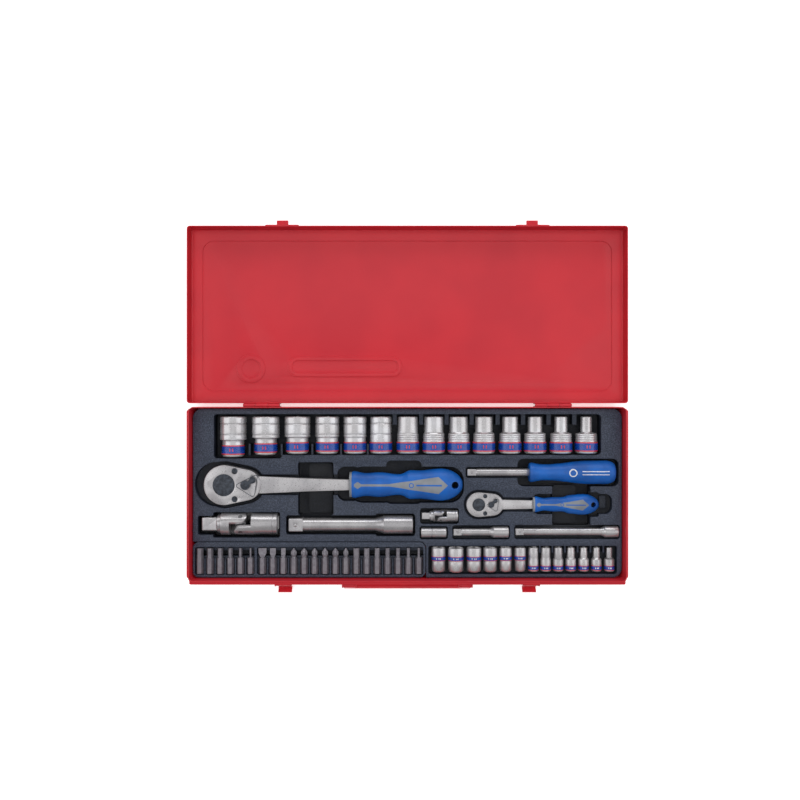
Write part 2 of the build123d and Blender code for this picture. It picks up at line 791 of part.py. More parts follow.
for size in universal_joints:
    rounding = size.outer / 2
    with BuildPart() as drive_yoke:
        fork(size, 1, 45)
        with BuildSketch(along_x(size.centre - size.base_gap - 1.0, size.y, size.z)):
            Circle(rounding)
        extrude(amount=2 * size.base_gap, mode=Mode.INTERSECT)
        turned(
            along_x(size.left + size.square, size.y, size.z),
            [
                (0, rounding * 0.7),
                (1.0, rounding * 0.82),
                (3.5, rounding * 0.82),
                (4.2, rounding),
                (size.centre - size.base_gap - size.left - size.square, rounding),
            ],
        )
        pin_holes(size, 45)
        root = Plane(
            origin=(size.left + size.square + 0.2, size.y, size.z), x_dir=(0, 0, 1), z_dir=(-1, 0, 0)
        )
        drive_square(root, size.drive, size.square + 0.2, Vector(0, 1, 0))
    save(drive_yoke, f"ujoint_{size.name}_drive_yoke")

    with BuildPart() as socket_yoke:
        fork(size, -1, 135)
        with BuildSketch(along_x(size.centre - size.base_gap, size.y, size.z)):
            Circle(rounding)
        extrude(amount=2 * size.base_gap + 1.0, mode=Mode.INTERSECT)
        yoke_start = size.centre + size.base_gap
        body_length = size.left + size.length - yoke_start
        groove = body_length - size.drive * 0.36
        turned(
            along_x(yoke_start, size.y, size.z),
            [
                (0, rounding),
                (body_length * 0.3, rounding * 0.94),
                (groove - 0.6, rounding * 0.94),
                (groove - 0.4, rounding * 0.9),
                (groove, rounding * 0.9),
                (groove + 0.2, rounding * 0.94),
                (body_length - 0.6, rounding * 0.94),
                (body_length, rounding * 0.88),
            ],
        )
        pin_holes(size, 135)
        square_cavity(along_x(size.left + size.length, size.y, size.z), size.drive, size.drive * 1.15)
    save(socket_yoke, f"ujoint_{size.name}_socket_yoke")

    block = size.outer / 2 - size.arm - 0.3
    with BuildPart() as cross:
        for roll in (45, 135):
            pin_dir = (0, cos(radians(roll)), sin(radians(roll)))
            plane = Plane(origin=(size.centre, size.y, size.z), x_dir=(1, 0, 0), z_dir=pin_dir)
            with BuildSketch(plane):
                Circle(size.pin)
            extrude(amount=size.outer / 2 - 0.4, both=True)
            with BuildSketch(plane):
                Rectangle(2 * size.tip - 1.6, 2 * block)
            extrude(amount=block, both=True)
    save(cross, f"ujoint_{size.name}_cross")


# ---------------------------------------------------------------- spinner handle
spinner_x = 58.2
spinner_y = 20.1
spinner_z = 21.8
spinner_square = 8.4
spinner_shaft = 3.7
spinner_grip_x = 118.0
spinner_grip_length = 83.4
tang_length = 60.0
tang_radius = 3.2
with BuildPart() as spinner_shank:
    turned(
        along_x(spinner_x + spinner_square, spinner_y, spinner_z),
        [
            (0, quarter_drive * 0.5),
            (0.8, spinner_shaft),
            (spinner_grip_x - spinner_x - spinner_square, spinner_shaft),
            (spinner_grip_x - spinner_x - spinner_square, tang_radius),
            (spinner_grip_x - spinner_x - spinner_square + tang_length, tang_radius),
        ],
    )
    root = Plane(
        origin=(spinner_x + spinner_square + 0.2, spinner_y, spinner_z), x_dir=(0, 0, 1), z_dir=(-1, 0, 0)
    )
    drive_square(root, quarter_drive, spinner_square + 0.2, Vector(0, 0, 1))
save(spinner_shank, "spinner_shank")

grip_end = along_x(spinner_grip_x, spinner_y, spinner_z)
with BuildPart() as spinner_grip:
    with BuildSketch(Plane(origin=grip_end.origin, x_dir=(1, 0, 0), z_dir=(0, -1, 0))):
        with BuildLine():
            Line((0, 0), (0, 8.2))
            Spline(
                (0, 8.2),
                (1.2, 9.1),
                (6.0, 8.8),
                (19.0, 7.8),
                (36.0, 9.3),
                (54.0, 11.2),
                (69.0, 11.4),
                (79.0, 10.6),
                (82.6, 8.4),
                (spinner_grip_length, 5.4),
            )
            Line((spinner_grip_length, 5.4), (spinner_grip_length, 0))
            Line((spinner_grip_length, 0), (0, 0))
        make_face()
    revolve(axis=Axis(grip_end.origin, grip_end.z_dir))
    with BuildSketch(grip_end):
        Circle(tang_radius + pin_play)
    extrude(amount=tang_length + 0.5, mode=Mode.SUBTRACT)
save(spinner_grip, "spinner_grip")


# ---------------------------------------------------------------- ratchets
@dataclass
class RatchetSize:
    """One reversible ratchet that lies along X with its drive square down."""

    name: str
    drive: float
    gear_x: float
    y: float
    head_bottom: float
    head_thickness: float
    head_radius: float
    nose_x: float
    nose_radius: float
    lever_x: float
    disc_radius: float
    gear_radius: float
    chamber_play: float
    square_length: float
    screw_dx: float
    screw_dy: float
    screw_radius: float
    lever_radius: float
    lever_reach: float
    lever_angle: float
    knob_radius: float
    spindle_radius: float
    pawl_radius: float
    recess_radius: float
    cover: float
    shank: tuple[float, float, float]
    shank_thickness: float
    grip_x: float
    grip: tuple[tuple[float, float], ...]
    grip_flatness: float
    hole_x: float
    hole_radius: float
    kite: tuple[float, float, float, float]


ratchets = (
    RatchetSize(
        name="half",
        drive=half_drive,
        gear_x=-177.0,
        y=8.2,
        head_bottom=15.2,
        head_thickness=14.0,
        head_radius=19.2,
        nose_x=-156.3,
        nose_radius=14.9,
        lever_x=-156.3,
        disc_radius=10.6,
        gear_radius=12.6,
        chamber_play=0.5,
        square_length=11.0,
        screw_dx=10.5,
        screw_dy=13.5,
        screw_radius=2.9,
        lever_radius=4.3,
        lever_reach=8.4,
        lever_angle=34.0,
        knob_radius=3.0,
        spindle_radius=2.4,
        pawl_radius=7.4,
        recess_radius=12.4,
        cover=2.4,
        shank=(8.2, 6.2, 4.9),
        shank_thickness=9.0,
        grip_x=-54.1,
        grip=(
            (0.0, 24.0), (1.6, 25.6), (6.0, 25.0), (13.5, 22.2), (30.0, 23.6), (55.0, 27.0), (84.0, 31.0),
            (92.0, 30.0), (101.0, 22.5), (105.6, 14.0), (107.5, 6.5),
        ),
        grip_flatness=0.74,
        hole_x=46.0,
        hole_radius=3.5,
        kite=(36.0, 84.0, 93.0, 8.2),
    ),
    RatchetSize(
        name="quarter",
        drive=quarter_drive,
        gear_x=69.0,
        y=-11.0,
        head_bottom=17.2,
        head_thickness=9.6,
        head_radius=11.8,
        nose_x=82.2,
        nose_radius=10.6,
        lever_x=81.2,
        disc_radius=6.1,
        gear_radius=7.4,
        chamber_play=0.4,
        square_length=7.0,
        screw_dx=6.2,
        screw_dy=8.3,
        screw_radius=2.0,
        lever_radius=2.7,
        lever_reach=5.5,
        lever_angle=42.0,
        knob_radius=1.9,
        spindle_radius=1.4,
        pawl_radius=4.2,
        recess_radius=8.6,
        cover=1.7,
        shank=(4.6, 4.3, 3.9),
        shank_thickness=6.0,
        grip_x=123.2,
        grip=(
            (0.0, 14.2), (1.0, 15.2), (3.4, 14.8), (8.0, 12.4), (18.0, 13.8), (32.0, 17.0), (47.0, 20.0),
            (52.0, 19.0), (58.0, 14.0), (61.2, 8.6), (62.4, 3.8),
        ),
        grip_flatness=0.74,
        hole_x=179.6,
        hole_radius=2.6,
        kite=(20.0, 46.0, 52.0, 5.3),
    ),
)
gear_teeth = 36
tooth_share = 0.07
pawl_gap = 0.8
recess_share = 0.4
recess_margin = 26.0
running = 0.08
collar = 1.6


def pear(size: RatchetSize, inset: float) -> None:
    """Sketch the head's outline: two circles in one hull, drawn in by an inset."""
    with Locations((size.gear_x, size.y)):
        Circle(size.head_radius - inset)
    with Locations((size.nose_x, size.y)):
        Circle(size.nose_radius - inset)
    make_hull()


def grip_loft(size: RatchetSize, inset: float) -> None:
    """Loft the grip through elliptical sections, all drawn in by an inset."""
    middle = size.head_bottom + size.head_thickness / 2
    sections = []
    for distance, width in size.grip:
        with BuildSketch(along_x(size.grip_x + distance, size.y, middle)) as section:
            Ellipse(width / 2 - inset, width * size.grip_flatness / 2 - inset)
        sections.append(section.sketch)
    loft(sections)


for size in ratchets:
    head_top = size.head_bottom + size.head_thickness
    middle = size.head_bottom + size.head_thickness / 2
    floor_sheet = size.head_thickness * 0.18
    chamber_bottom = size.head_bottom + floor_sheet
    chamber_top = head_top - size.cover
    grip_length = size.grip[-1][0]
    tang = grip_length * 0.7
    tang_rod = size.shank_thickness * 0.36
    journal = size.disc_radius * 0.92

    with BuildPart() as ratchet_body:
        with BuildSketch(Plane.XY.offset(size.head_bottom)):
            pear(size, 0)
        extrude(amount=size.head_thickness)
        fillet(ratchet_body.faces().sort_by(Axis.Z)[0].edges(), size.head_thickness * 0.14)
        fillet(ratchet_body.faces().sort_by(Axis.Z)[-1].edges(), 0.5)
        with BuildSketch(Plane.XY.offset(middle - size.shank_thickness / 2)):
            start, waist, end = size.shank
            neck = size.nose_x + size.nose_radius
            with BuildLine():
                Polyline(
                    (size.nose_x + size.nose_radius * 0.6, size.y - start),
                    (neck, size.y - start),
                    ((neck + size.grip_x) / 2, size.y - waist),
                    (size.grip_x, size.y - end),
                    (size.grip_x, size.y + end),
                    ((neck + size.grip_x) / 2, size.y + waist),
                    (neck, size.y + start),
                    (size.nose_x + size.nose_radius * 0.6, size.y + start),
                    close=True,
                )
            make_face()
        extrude(amount=size.shank_thickness)
        turned(along_x(size.grip_x - 1.0, size.y, middle), [(0, tang_rod), (tang + 1.0, tang_rod)])
        # the cover's seat, the gear and pawl chamber, and the hole that the square comes out of
        with BuildSketch(Plane.XY.offset(chamber_top)):
            pear(size, 0.8)
        extrude(amount=2 * size.cover, mode=Mode.SUBTRACT)
        with BuildSketch(Plane.XY.offset(chamber_bottom)):
            with Locations((size.gear_x, size.y)):
                Circle(size.gear_radius + size.chamber_play)
            with Locations((size.lever_x, size.y)):
                Circle(size.pawl_radius + 0.8)
            with Locations(((size.gear_x + size.lever_x) / 2, size.y)):
                Rectangle(size.lever_x - size.gear_x, 1.7 * size.pawl_radius + 1.6)
        extrude(amount=size.head_thickness, mode=Mode.SUBTRACT)
        with Locations((size.gear_x, size.y, size.head_bottom)):
            Cylinder(journal + running, size.head_thickness, mode=Mode.SUBTRACT)
        for side in (-1, 1):
            with Locations((size.gear_x + size.screw_dx, size.y + side * size.screw_dy, chamber_top)):
                Cylinder(size.screw_radius * 0.5 + running, size.head_thickness, mode=Mode.SUBTRACT)
    save(ratchet_body, f"ratchet_{size.name}_body")

    with BuildPart() as cover:
        with BuildSketch(Plane.XY.offset(chamber_top)):
            pear(size, 0.85)
            with Locations((size.gear_x, size.y)):
                Circle(size.disc_radius + running, mode=Mode.SUBTRACT)
        extrude(amount=size.cover)
        with Locations((size.lever_x, size.y, head_top)):
            Cylinder(size.spindle_radius + running, 4 * size.cover, mode=Mode.SUBTRACT)
        swing = radians(size.lever_angle + recess_margin)
        fan_x = size.lever_x + size.recess_radius * cos(swing)
        fan_half = size.recess_radius * sin(swing)
        with BuildSketch(Plane.XY.offset(head_top)):
            with Locations((size.lever_x, size.y)):
                Circle(size.lever_radius + 0.5)
            with BuildLine():
                Line((size.lever_x, size.y), (fan_x, size.y - fan_half))
                ThreePointArc(
                    (fan_x, size.y - fan_half),
                    (size.lever_x + size.recess_radius, size.y),
                    (fan_x, size.y + fan_half),
                )
                Line((fan_x, size.y + fan_half), (size.lever_x, size.y))
            make_face()
        extrude(amount=-size.cover * recess_share, mode=Mode.SUBTRACT)
        for side in (-1, 1):
            with Locations((size.gear_x + size.screw_dx, size.y + side * size.screw_dy, head_top)):
                thread_hole = size.screw_radius * 0.5 + running
                CounterBoreHole(thread_hole, size.screw_radius + running, size.cover * 0.6)
    save(cover, f"ratchet_{size.name}_cover")

    with BuildPart() as cover_screws:
        for side in (-1, 1):
            with Locations((size.gear_x + size.screw_dx, size.y + side * size.screw_dy, head_top)):
                Cylinder(size.screw_radius, size.cover * 0.6, align=(Align.CENTER, Align.CENTER, Align.MAX))
                Cylinder(
                    size.screw_radius * 0.5,
                    size.head_thickness * 0.55,
                    align=(Align.CENTER, Align.CENTER, Align.MAX),
                )
                Cylinder(size.screw_radius * 0.42, 2 * size.cover * 0.3, mode=Mode.SUBTRACT)
    save(cover_screws, f"ratchet_{size.name}_cover_screws")

    with BuildPart() as drive_gear:
        gear_bottom = chamber_bottom + 0.3
        tooth = size.gear_radius * tooth_share
        with BuildSketch(Plane.XY.offset(gear_bottom)):
            with Locations((size.gear_x, size.y)):
                Circle(size.gear_radius)
                with PolarLocations(size.gear_radius + 0.1, gear_teeth):
                    Rectangle(tooth, tooth, rotation=45, mode=Mode.SUBTRACT)
        extrude(amount=chamber_top - 0.3 - gear_bottom)
        with Locations((size.gear_x, size.y, chamber_top - 0.5)):
            Cylinder(size.disc_radius, size.cover + 0.7, align=LOW)
        with Locations((size.gear_x, size.y, gear_bottom + 0.2)):
            Cylinder(journal, floor_sheet + 0.5, align=(Align.CENTER, Align.CENTER, Align.MAX))
        underneath = gear_bottom + 0.2 - floor_sheet - 0.5
        root = Plane(origin=(size.gear_x, size.y, underneath + 0.2), x_dir=(1, 0, 0), z_dir=(0, 0, -1))
        square_tip = size.square_length + underneath - size.head_bottom + 0.2
        drive_square(root, size.drive, square_tip, Vector(-1, 0, 0))
    save(drive_gear, f"ratchet_{size.name}_drive_gear")

    with BuildPart() as pawl:
        with BuildSketch(Plane.XY.offset(chamber_bottom + 0.3)):
            with Locations((size.lever_x, size.y)):
                Circle(size.pawl_radius)
            with Locations((size.lever_x - size.pawl_radius / 2, size.y)):
                Rectangle(size.pawl_radius * 1.2, 1.5 * size.pawl_radius)
            with Locations((size.gear_x, size.y)):
                Circle(size.gear_radius + pawl_gap, mode=Mode.SUBTRACT)
            with Locations((size.lever_x, size.y)):
                Circle(size.spindle_radius + running, mode=Mode.SUBTRACT)
        extrude(amount=chamber_top - chamber_bottom - 0.6)
    save(pawl, f"ratchet_{size.name}_pawl")

    with BuildPart() as reversing_lever:
        recess_floor = head_top - size.cover * recess_share + 0.1
        knob_x = size.lever_reach * cos(radians(size.lever_angle))
        knob_y = size.lever_reach * sin(radians(size.lever_angle))
        with BuildSketch(Plane.XY.offset(recess_floor)):
            with Locations((size.lever_x, size.y)):
                Circle(size.lever_radius)
            with Locations((size.lever_x + knob_x, size.y + knob_y)):
                Circle(size.knob_radius)
            with Locations((size.lever_x + knob_x / 2, size.y + knob_y / 2)):
                Rectangle(size.lever_reach, size.knob_radius * 1.2, rotation=size.lever_angle)
        extrude(amount=size.cover * 0.95)
        with Locations((size.lever_x, size.y, recess_floor + 0.2)):
            spindle = recess_floor - chamber_bottom - 0.2
            Cylinder(size.spindle_radius, spindle, align=(Align.CENTER, Align.CENTER, Align.MAX))
        with Locations((size.lever_x + knob_x, size.y + knob_y, recess_floor + size.cover * 0.9)):
            Cylinder(size.knob_radius * 0.72, size.cover * 0.5, align=LOW)
    save(reversing_lever, f"ratchet_{size.name}_reversing_lever")

    tail, widest, point, half_kite = size.kite
    heart = half_kite * 0.42
    line_width = half_kite * 0.13
    with BuildPart(mode=Mode.PRIVATE) as grip_core:
        grip_loft(size, size.grip[-1][1] * 0.09)
    with BuildPart() as grip_inlay:
        grip_loft(size, 0)
        with BuildSketch(Plane.XY.offset(middle)):
            with BuildLine():
                left = size.grip_x + heart * 0.8
                Polyline(
                    (left, size.y + line_width),
                    (left + heart, size.y + heart),
                    (left + 2 * heart, size.y + line_width),
                    (size.grip_x + tail, size.y + line_width),
                    (size.grip_x + widest, size.y + half_kite),
                    (size.grip_x + point, size.y),
                    (size.grip_x + widest, size.y - half_kite),
                    (size.grip_x + tail, size.y - line_width),
                    (left + 2 * heart, size.y - line_width),
                    (left + heart, size.y - heart),
                    (left, size.y - line_width),
                    close=True,
                )
            make_face()
        extrude(amount=size.grip[6][1], mode=Mode.INTERSECT)
        add(grip_core.part, mode=Mode.SUBTRACT)
    save(grip_inlay, f"ratchet_{size.name}_grip_inlay")

    with BuildPart() as ratchet_grip:
        grip_loft(size, 0)
        add(grip_inlay.part, mode=Mode.SUBTRACT)
        with BuildSketch(along_x(size.grip_x - 1.0, size.y, middle)):
            Circle(tang_rod + pin_play)
        extrude(amount=tang + 1.5, mode=Mode.SUBTRACT)
        with Locations((size.hole_x, size.y, middle)):
            Cylinder(size.hole_radius, 4 * size.head_thickness, mode=Mode.SUBTRACT)
    save(ratchet_grip, f"ratchet_{size.name}_grip")


# ---------------------------------------------------------------- moulded trays
@dataclass
class Pocket:
    """One rounded pocket in a tray: its corners, its floor and the radius of its corners."""

    left: float
    right: float
    front: float
    rear: float
    floor: float
    corner: float = 2.5


bit_tray_rear = -tray_rear + bit_tray_front_depth
half_ratchet, quarter_ratchet = ratchets
half_joint, quarter_joint = universal_joints
room = 3.0


def around(left: float, right: float, y: float, reach: float, floor: float, play: float = room) -> Pocket:
    """Pocket round something that lies along X, with the same play all round."""
    return Pocket(left - play, right + play, y - reach - play, y + reach + play, floor)


main_pockets = [
    # sockets of both drives
    Pocket(-187.6, 188.0, 37.0, half_mouth_y + 2.4, half_pocket_floor, 4.0),
    Pocket(-187.6, -121.5, 33.6, half_mouth_y + 2.4, half_pocket_floor, 3.0),
    Pocket(20.3, 203.4, quarter_mouth_y - 25.6, quarter_mouth_y + 2.0, quarter_pocket_floor, 2.5),
    # 1/2 inch ratchet: grip, shank, and the finger well across the shank
    Pocket(-68.0, -44.0, -7.6, 25.8, 10.6, 8.0),
    Pocket(-57.0, 54.9, -9.4, 25.8, 10.6, 14.0),
    Pocket(-20.6, 14.0, -10.6, 31.7, 10.6, 5.0),
    around(-150.0, half_ratchet.grip_x, half_ratchet.y, 8.0, 15.0, 2.0),
    Pocket(-206.0, -162.4, -12.9, 30.3, 14.9, 21.4),
    Pocket(-106.0, -71.6, -21.4, 30.0, 8.0, 2.0),
    # 1/4 inch ratchet with the finger well that it shares with the spinner
    Pocket(120.6, 198.6, -20.4, -0.6, 14.2, 7.0),
    around(quarter_ratchet.grip_x + 30.0, 184.0, quarter_ratchet.y, 10.0, 14.2, 2.0),
    around(85.0, quarter_ratchet.grip_x, quarter_ratchet.y, 4.7, 17.0, 2.2),
    Pocket(140.4, 177.6, -32.0, 8.4, 8.0, 2.0),
    # spinner
    around(spinner_x, spinner_grip_x - 10.0, spinner_y, spinner_shaft, 16.0, 1.7),
    Pocket(106.6, 205.0, 6.5, 33.4, 10.0, 6.0),
    # universal joints
    Pocket(-188.4, -123.4, -43.2, -18.4, half_joint.z - half_joint.outer / 2 - loose, 2.0),
    Pocket(-203.2, -186.0, -40.4, -21.9, half_joint.z - half_joint.outer / 2 - loose, 2.0),
    around(quarter_joint.left, 48.4, quarter_joint.y, quarter_joint.outer / 2, 14.0, 1.6),
    # extensions and the bit adapter
    around(extensions[0].x, 5.4, extensions[0].y, 7.0, half_extension_floor, 2.4),
    around(-29.0, 5.4, extensions[0].y, 9.0, half_extension_floor, 2.0),
    around(extensions[1].x, 98.2, extensions[1].y, 5.7, quarter_bar_floor, 1.2),
    around(extensions[2].x, 204.7, extensions[2].y, 5.7, quarter_bar_floor, 1.2),
    around(adapter_x, adapter_x + adapter_length, adapter_y, adapter_radius, 16.0, 1.5),
]
head_pockets = [
    (half_ratchet, 3.6, 14.9, 3.9),
    (quarter_ratchet, 2.6, 16.9, 9.8),
]
plateaus = [
    Pocket(-96.0, -73.0, -20.0, 28.6, 13.4, 4.0),
    Pocket(142.0, 165.0, -30.6, 7.0, 13.4, 4.0),
    Pocket(187.4, 193.4, -15.0, -3.0, 17.6, 1.5),
]


def prism(pocket: Pocket, grow: float, bottom: float, top: float, mode: Mode = Mode.ADD) -> None:
    """Extrude a pocket's outline between two heights, grown outwards by a wall."""
    middle = ((pocket.left + pocket.right) / 2, (pocket.front + pocket.rear) / 2)
    width = pocket.right - pocket.left + 2 * grow
    depth = pocket.rear - pocket.front + 2 * grow
    with BuildSketch(Plane.XY.offset(bottom)) as outline:
        with Locations(middle):
            RectangleRounded(width, depth, pocket.corner + grow)
    extrude(outline.sketch, amount=top - bottom, mode=mode)


def main_outline(inset: float) -> None:
    """Sketch the main tray's L shape, drawn in by a wall."""
    RectangleRounded(2 * (tray_right - inset), 2 * (tray_rear - inset), tray_corner - inset)
    cut_right = bit_tray_right + parting_gap + inset
    cut_rear = bit_tray_rear + parting_gap + inset
    corner = bit_tray_corner + parting_gap + inset
    with Locations((cut_right, cut_rear)):
        RectangleRounded(
            3 * tray_right, 3 * tray_rear, corner, align=(Align.MAX, Align.MAX), mode=Mode.SUBTRACT
        )


tray_bottom = case_floor + tray_seat
plate_bottom = tray_top - tray_wall
with BuildPart() as main_tray:
    with BuildSketch(Plane.XY.offset(tray_bottom)):
        main_outline(0)
    extrude(amount=tray_top - tray_bottom)
    with BuildSketch(Plane.XY.offset(tray_bottom - 1.0)):
        main_outline(tray_wall)
    extrude(amount=plate_bottom - tray_bottom + 1.0, mode=Mode.SUBTRACT)
    for pocket in main_pockets:
        prism(pocket, tray_wall, pocket.floor - tray_wall, tray_top)
    for size, play, head_floor, square_floor in head_pockets:
        with BuildSketch(Plane.XY.offset(head_floor - tray_wall)):
            pear(size, -play - tray_wall)
        extrude(amount=tray_top - head_floor + tray_wall)
        with Locations((size.gear_x, size.y, square_floor - tray_wall)):
            Cylinder(size.drive * 0.8 + tray_wall, head_floor - square_floor + tray_wall, align=LOW)
    for pocket in main_pockets:
        prism(pocket, 0, pocket.floor, tray_top + 1.0, Mode.SUBTRACT)
    for size, play, head_floor, square_floor in head_pockets:
        with BuildSketch(Plane.XY.offset(head_floor)):
            pear(size, -play)
        extrude(amount=tray_top, mode=Mode.SUBTRACT)
        with Locations((size.gear_x, size.y, square_floor)):
            Cylinder(size.drive * 0.8, tray_top, align=LOW, mode=Mode.SUBTRACT)
    for pocket in plateaus:
        prism(pocket, 0, 8.0 - tray_wall, pocket.floor)
    # ribs between neighbouring sockets: at the waist of the large ones, beside the mouth of the small
    for first, second in zip(half_sockets, half_sockets[1:]):
        waist_rib = second.hexagon > 14.5
        between = second.x - first.x - (first.outer + second.outer) / 2
        rib_x = first.x + (first.outer + between) / 2
        rib_width = 4.0
        if waist_rib:
            rib_x = (first.x + second.x) / 2
            rib_width = 1.8
        rib_width = min(rib_width, between - 1.6) if not waist_rib else rib_width
        with Locations((rib_x, 36.5 if waist_rib else half_mouth_y + 3.0, half_pocket_floor - tray_wall)):
            rib_end = Align.MIN if waist_rib else Align.MAX
            Box(rib_width, 11.0, 15.0, align=(Align.CENTER, rib_end, Align.MIN))
    for first, second in zip(slim_sockets, slim_sockets[1:]):
        rib_x = (first.x + first.outer / 2 + second.x - second.outer / 2) / 2
        with Locations((rib_x, quarter_mouth_y + 2.6, quarter_pocket_floor - tray_wall)):
            Box(1.6, 7.5, 9.0, align=(Align.CENTER, Align.MAX, Align.MIN))
save(main_tray, "main_tray")

bit_pockets = [
    Pocket(-205.9, -148.0, bit_tip_y - bit_length - 1.2, bit_tip_y + 1.2, bit_pocket_floor, 2.0),
    Pocket(-145.8, 15.6, bit_tip_y - bit_length - 1.2, bit_tip_y + 1.2, bit_pocket_floor, 2.0),
]
bit_trench_floor = 10.0
bit_trenches = [
    Pocket(pocket.left, pocket.right, bit_tip_y - 8.1, bit_tip_y - 2.7, bit_trench_floor, 1.0)
    for pocket in bit_pockets
]
bit_tray_seat = case_floor + loose


def bit_outline(inset: float) -> None:
    """Sketch the bit tray: case corner at the lower left, one rounded corner at the upper right."""
    width = bit_tray_right + tray_right - 2 * inset
    with Locations(((bit_tray_right - tray_right) / 2, (bit_tray_rear - tray_rear) / 2)):
        RectangleRounded(width, bit_tray_front_depth - 2 * inset, bit_tray_corner - inset)


with BuildPart() as bit_tray:
    with BuildSketch(Plane.XY.offset(bit_tray_seat)):
        bit_outline(0)
    extrude(amount=tray_top - bit_tray_seat)
    with BuildSketch(Plane.XY.offset(bit_tray_seat - 1.0)):
        bit_outline(tray_wall)
    extrude(amount=plate_bottom - bit_tray_seat + 1.0, mode=Mode.SUBTRACT)
    for pocket in bit_pockets + bit_trenches:
        prism(pocket, 0.8, pocket.floor - tray_wall, tray_top)
    for pocket in bit_pockets:
        prism(pocket, 0, pocket.floor, tray_top + 1.0, Mode.SUBTRACT)
    for start, pitch, count in (
        (first_bit_x, first_bit_pitch, len(key_bits)),
        (second_bit_x, second_bit_pitch, len(blade_bits + cross_bits + star_bits)),
    ):
        for number in range(count - 1):
            rib_x = start + (number + 0.5) * pitch
            with Locations((rib_x, bit_tip_y - bit_length - 1.6, bit_pocket_floor - 0.4)):
                Box(0.9, shank_length + 1.0, 4.2, align=(Align.CENTER, Align.MIN, Align.MIN))
    for pocket in bit_trenches:
        prism(pocket, 0, pocket.floor, tray_top + 1.0, Mode.SUBTRACT)
save(bit_tray, "bit_tray")
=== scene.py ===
"""Looks of a socket wrench set that lies in its open, red painted steel case.

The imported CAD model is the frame. Each sub-assembly below is one class: it dresses the frame's
nodes in their finishes, or puts a more finely worked mesh in a node's place.
"""

import json
import logging
import math
from collections.abc import Callable
from dataclasses import dataclass
from enum import Enum

import bpy
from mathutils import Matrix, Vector

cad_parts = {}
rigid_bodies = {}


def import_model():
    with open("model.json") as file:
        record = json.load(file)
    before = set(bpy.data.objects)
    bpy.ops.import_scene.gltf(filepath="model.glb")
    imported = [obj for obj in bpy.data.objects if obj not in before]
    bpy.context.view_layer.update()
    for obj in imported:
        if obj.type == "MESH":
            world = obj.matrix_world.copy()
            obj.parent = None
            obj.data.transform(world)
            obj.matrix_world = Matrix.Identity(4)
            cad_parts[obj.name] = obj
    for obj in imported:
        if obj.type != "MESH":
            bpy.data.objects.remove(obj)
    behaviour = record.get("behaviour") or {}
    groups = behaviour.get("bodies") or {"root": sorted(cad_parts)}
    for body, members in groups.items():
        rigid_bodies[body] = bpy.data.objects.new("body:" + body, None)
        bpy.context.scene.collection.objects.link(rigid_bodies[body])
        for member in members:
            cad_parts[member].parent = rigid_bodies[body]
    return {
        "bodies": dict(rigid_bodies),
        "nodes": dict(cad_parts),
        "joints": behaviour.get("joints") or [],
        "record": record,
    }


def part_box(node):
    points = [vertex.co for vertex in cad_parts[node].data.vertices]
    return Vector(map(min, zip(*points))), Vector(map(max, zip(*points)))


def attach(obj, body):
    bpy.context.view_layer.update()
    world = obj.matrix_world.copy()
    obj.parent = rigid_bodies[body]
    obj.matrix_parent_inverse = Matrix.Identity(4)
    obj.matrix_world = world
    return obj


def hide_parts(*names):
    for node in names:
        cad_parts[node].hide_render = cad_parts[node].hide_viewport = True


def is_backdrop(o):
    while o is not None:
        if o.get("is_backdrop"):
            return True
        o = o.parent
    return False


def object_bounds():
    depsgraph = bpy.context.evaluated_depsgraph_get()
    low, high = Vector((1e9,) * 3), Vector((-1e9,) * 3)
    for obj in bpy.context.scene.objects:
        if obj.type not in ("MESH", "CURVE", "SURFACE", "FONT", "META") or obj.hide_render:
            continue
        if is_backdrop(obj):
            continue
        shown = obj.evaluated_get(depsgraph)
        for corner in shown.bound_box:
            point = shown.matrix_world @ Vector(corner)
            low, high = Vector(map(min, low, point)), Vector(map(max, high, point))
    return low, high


LOG = logging.getLogger("socket_set")
MM = 0.001
Color = tuple[float, float, float, float]
Outline = list[tuple[float, float]]
Drawer = Callable[["SmallSize", "BandPlace"], Outline]


def paint(code: str) -> Color:
    """Turn a six digit colour code into a linear colour.

    Args:
        code: red, green and blue as two hexadecimal digits each.

    Returns:
        The linear colour with full alpha.
    """
    parts = [int(code[i : i + 2], 16) / 255 for i in (0, 2, 4)]
    linear = [c / 12.92 if c <= 0.04045 else ((c + 0.055) / 1.055) ** 2.4 for c in parts]
    return linear[0], linear[1], linear[2], 1.0


class Tone(Enum):
    """Colours of the finishes."""

    RED = "CE2834"
    RED_DEEP = "C42532"
    TRAY = "232A38"
    TRAY_LIGHT = "474F62"
    CHROME = "D6D6DA"
    CHROME_SATIN = "C9C7C9"
    CHROME_SHADE = "B4B2B5"
    BIT = "96939A"
    BIT_DARK = "837F87"
    BLACKENED = "2A2E35"
    BLACKENED_LIGHT = "454B55"
    PIN = "8E8E90"
    PIN_DARK = "606063"
    BLUE = "0A63BE"
    BLUE_DEEP = "0850A0"
    GREY = "8A8E94"
    GREY_DEEP = "70747A"
    BAND = "0E46A4"
    BAND_EDGE = "D23540"
    WHITE = "E6E8EC"


class Along(Enum):
    """Direction in which a finish is brushed or ground."""

    NONE = (1.0, 1.0, 1.0)
    Y = (1.0, 0.06, 1.0)


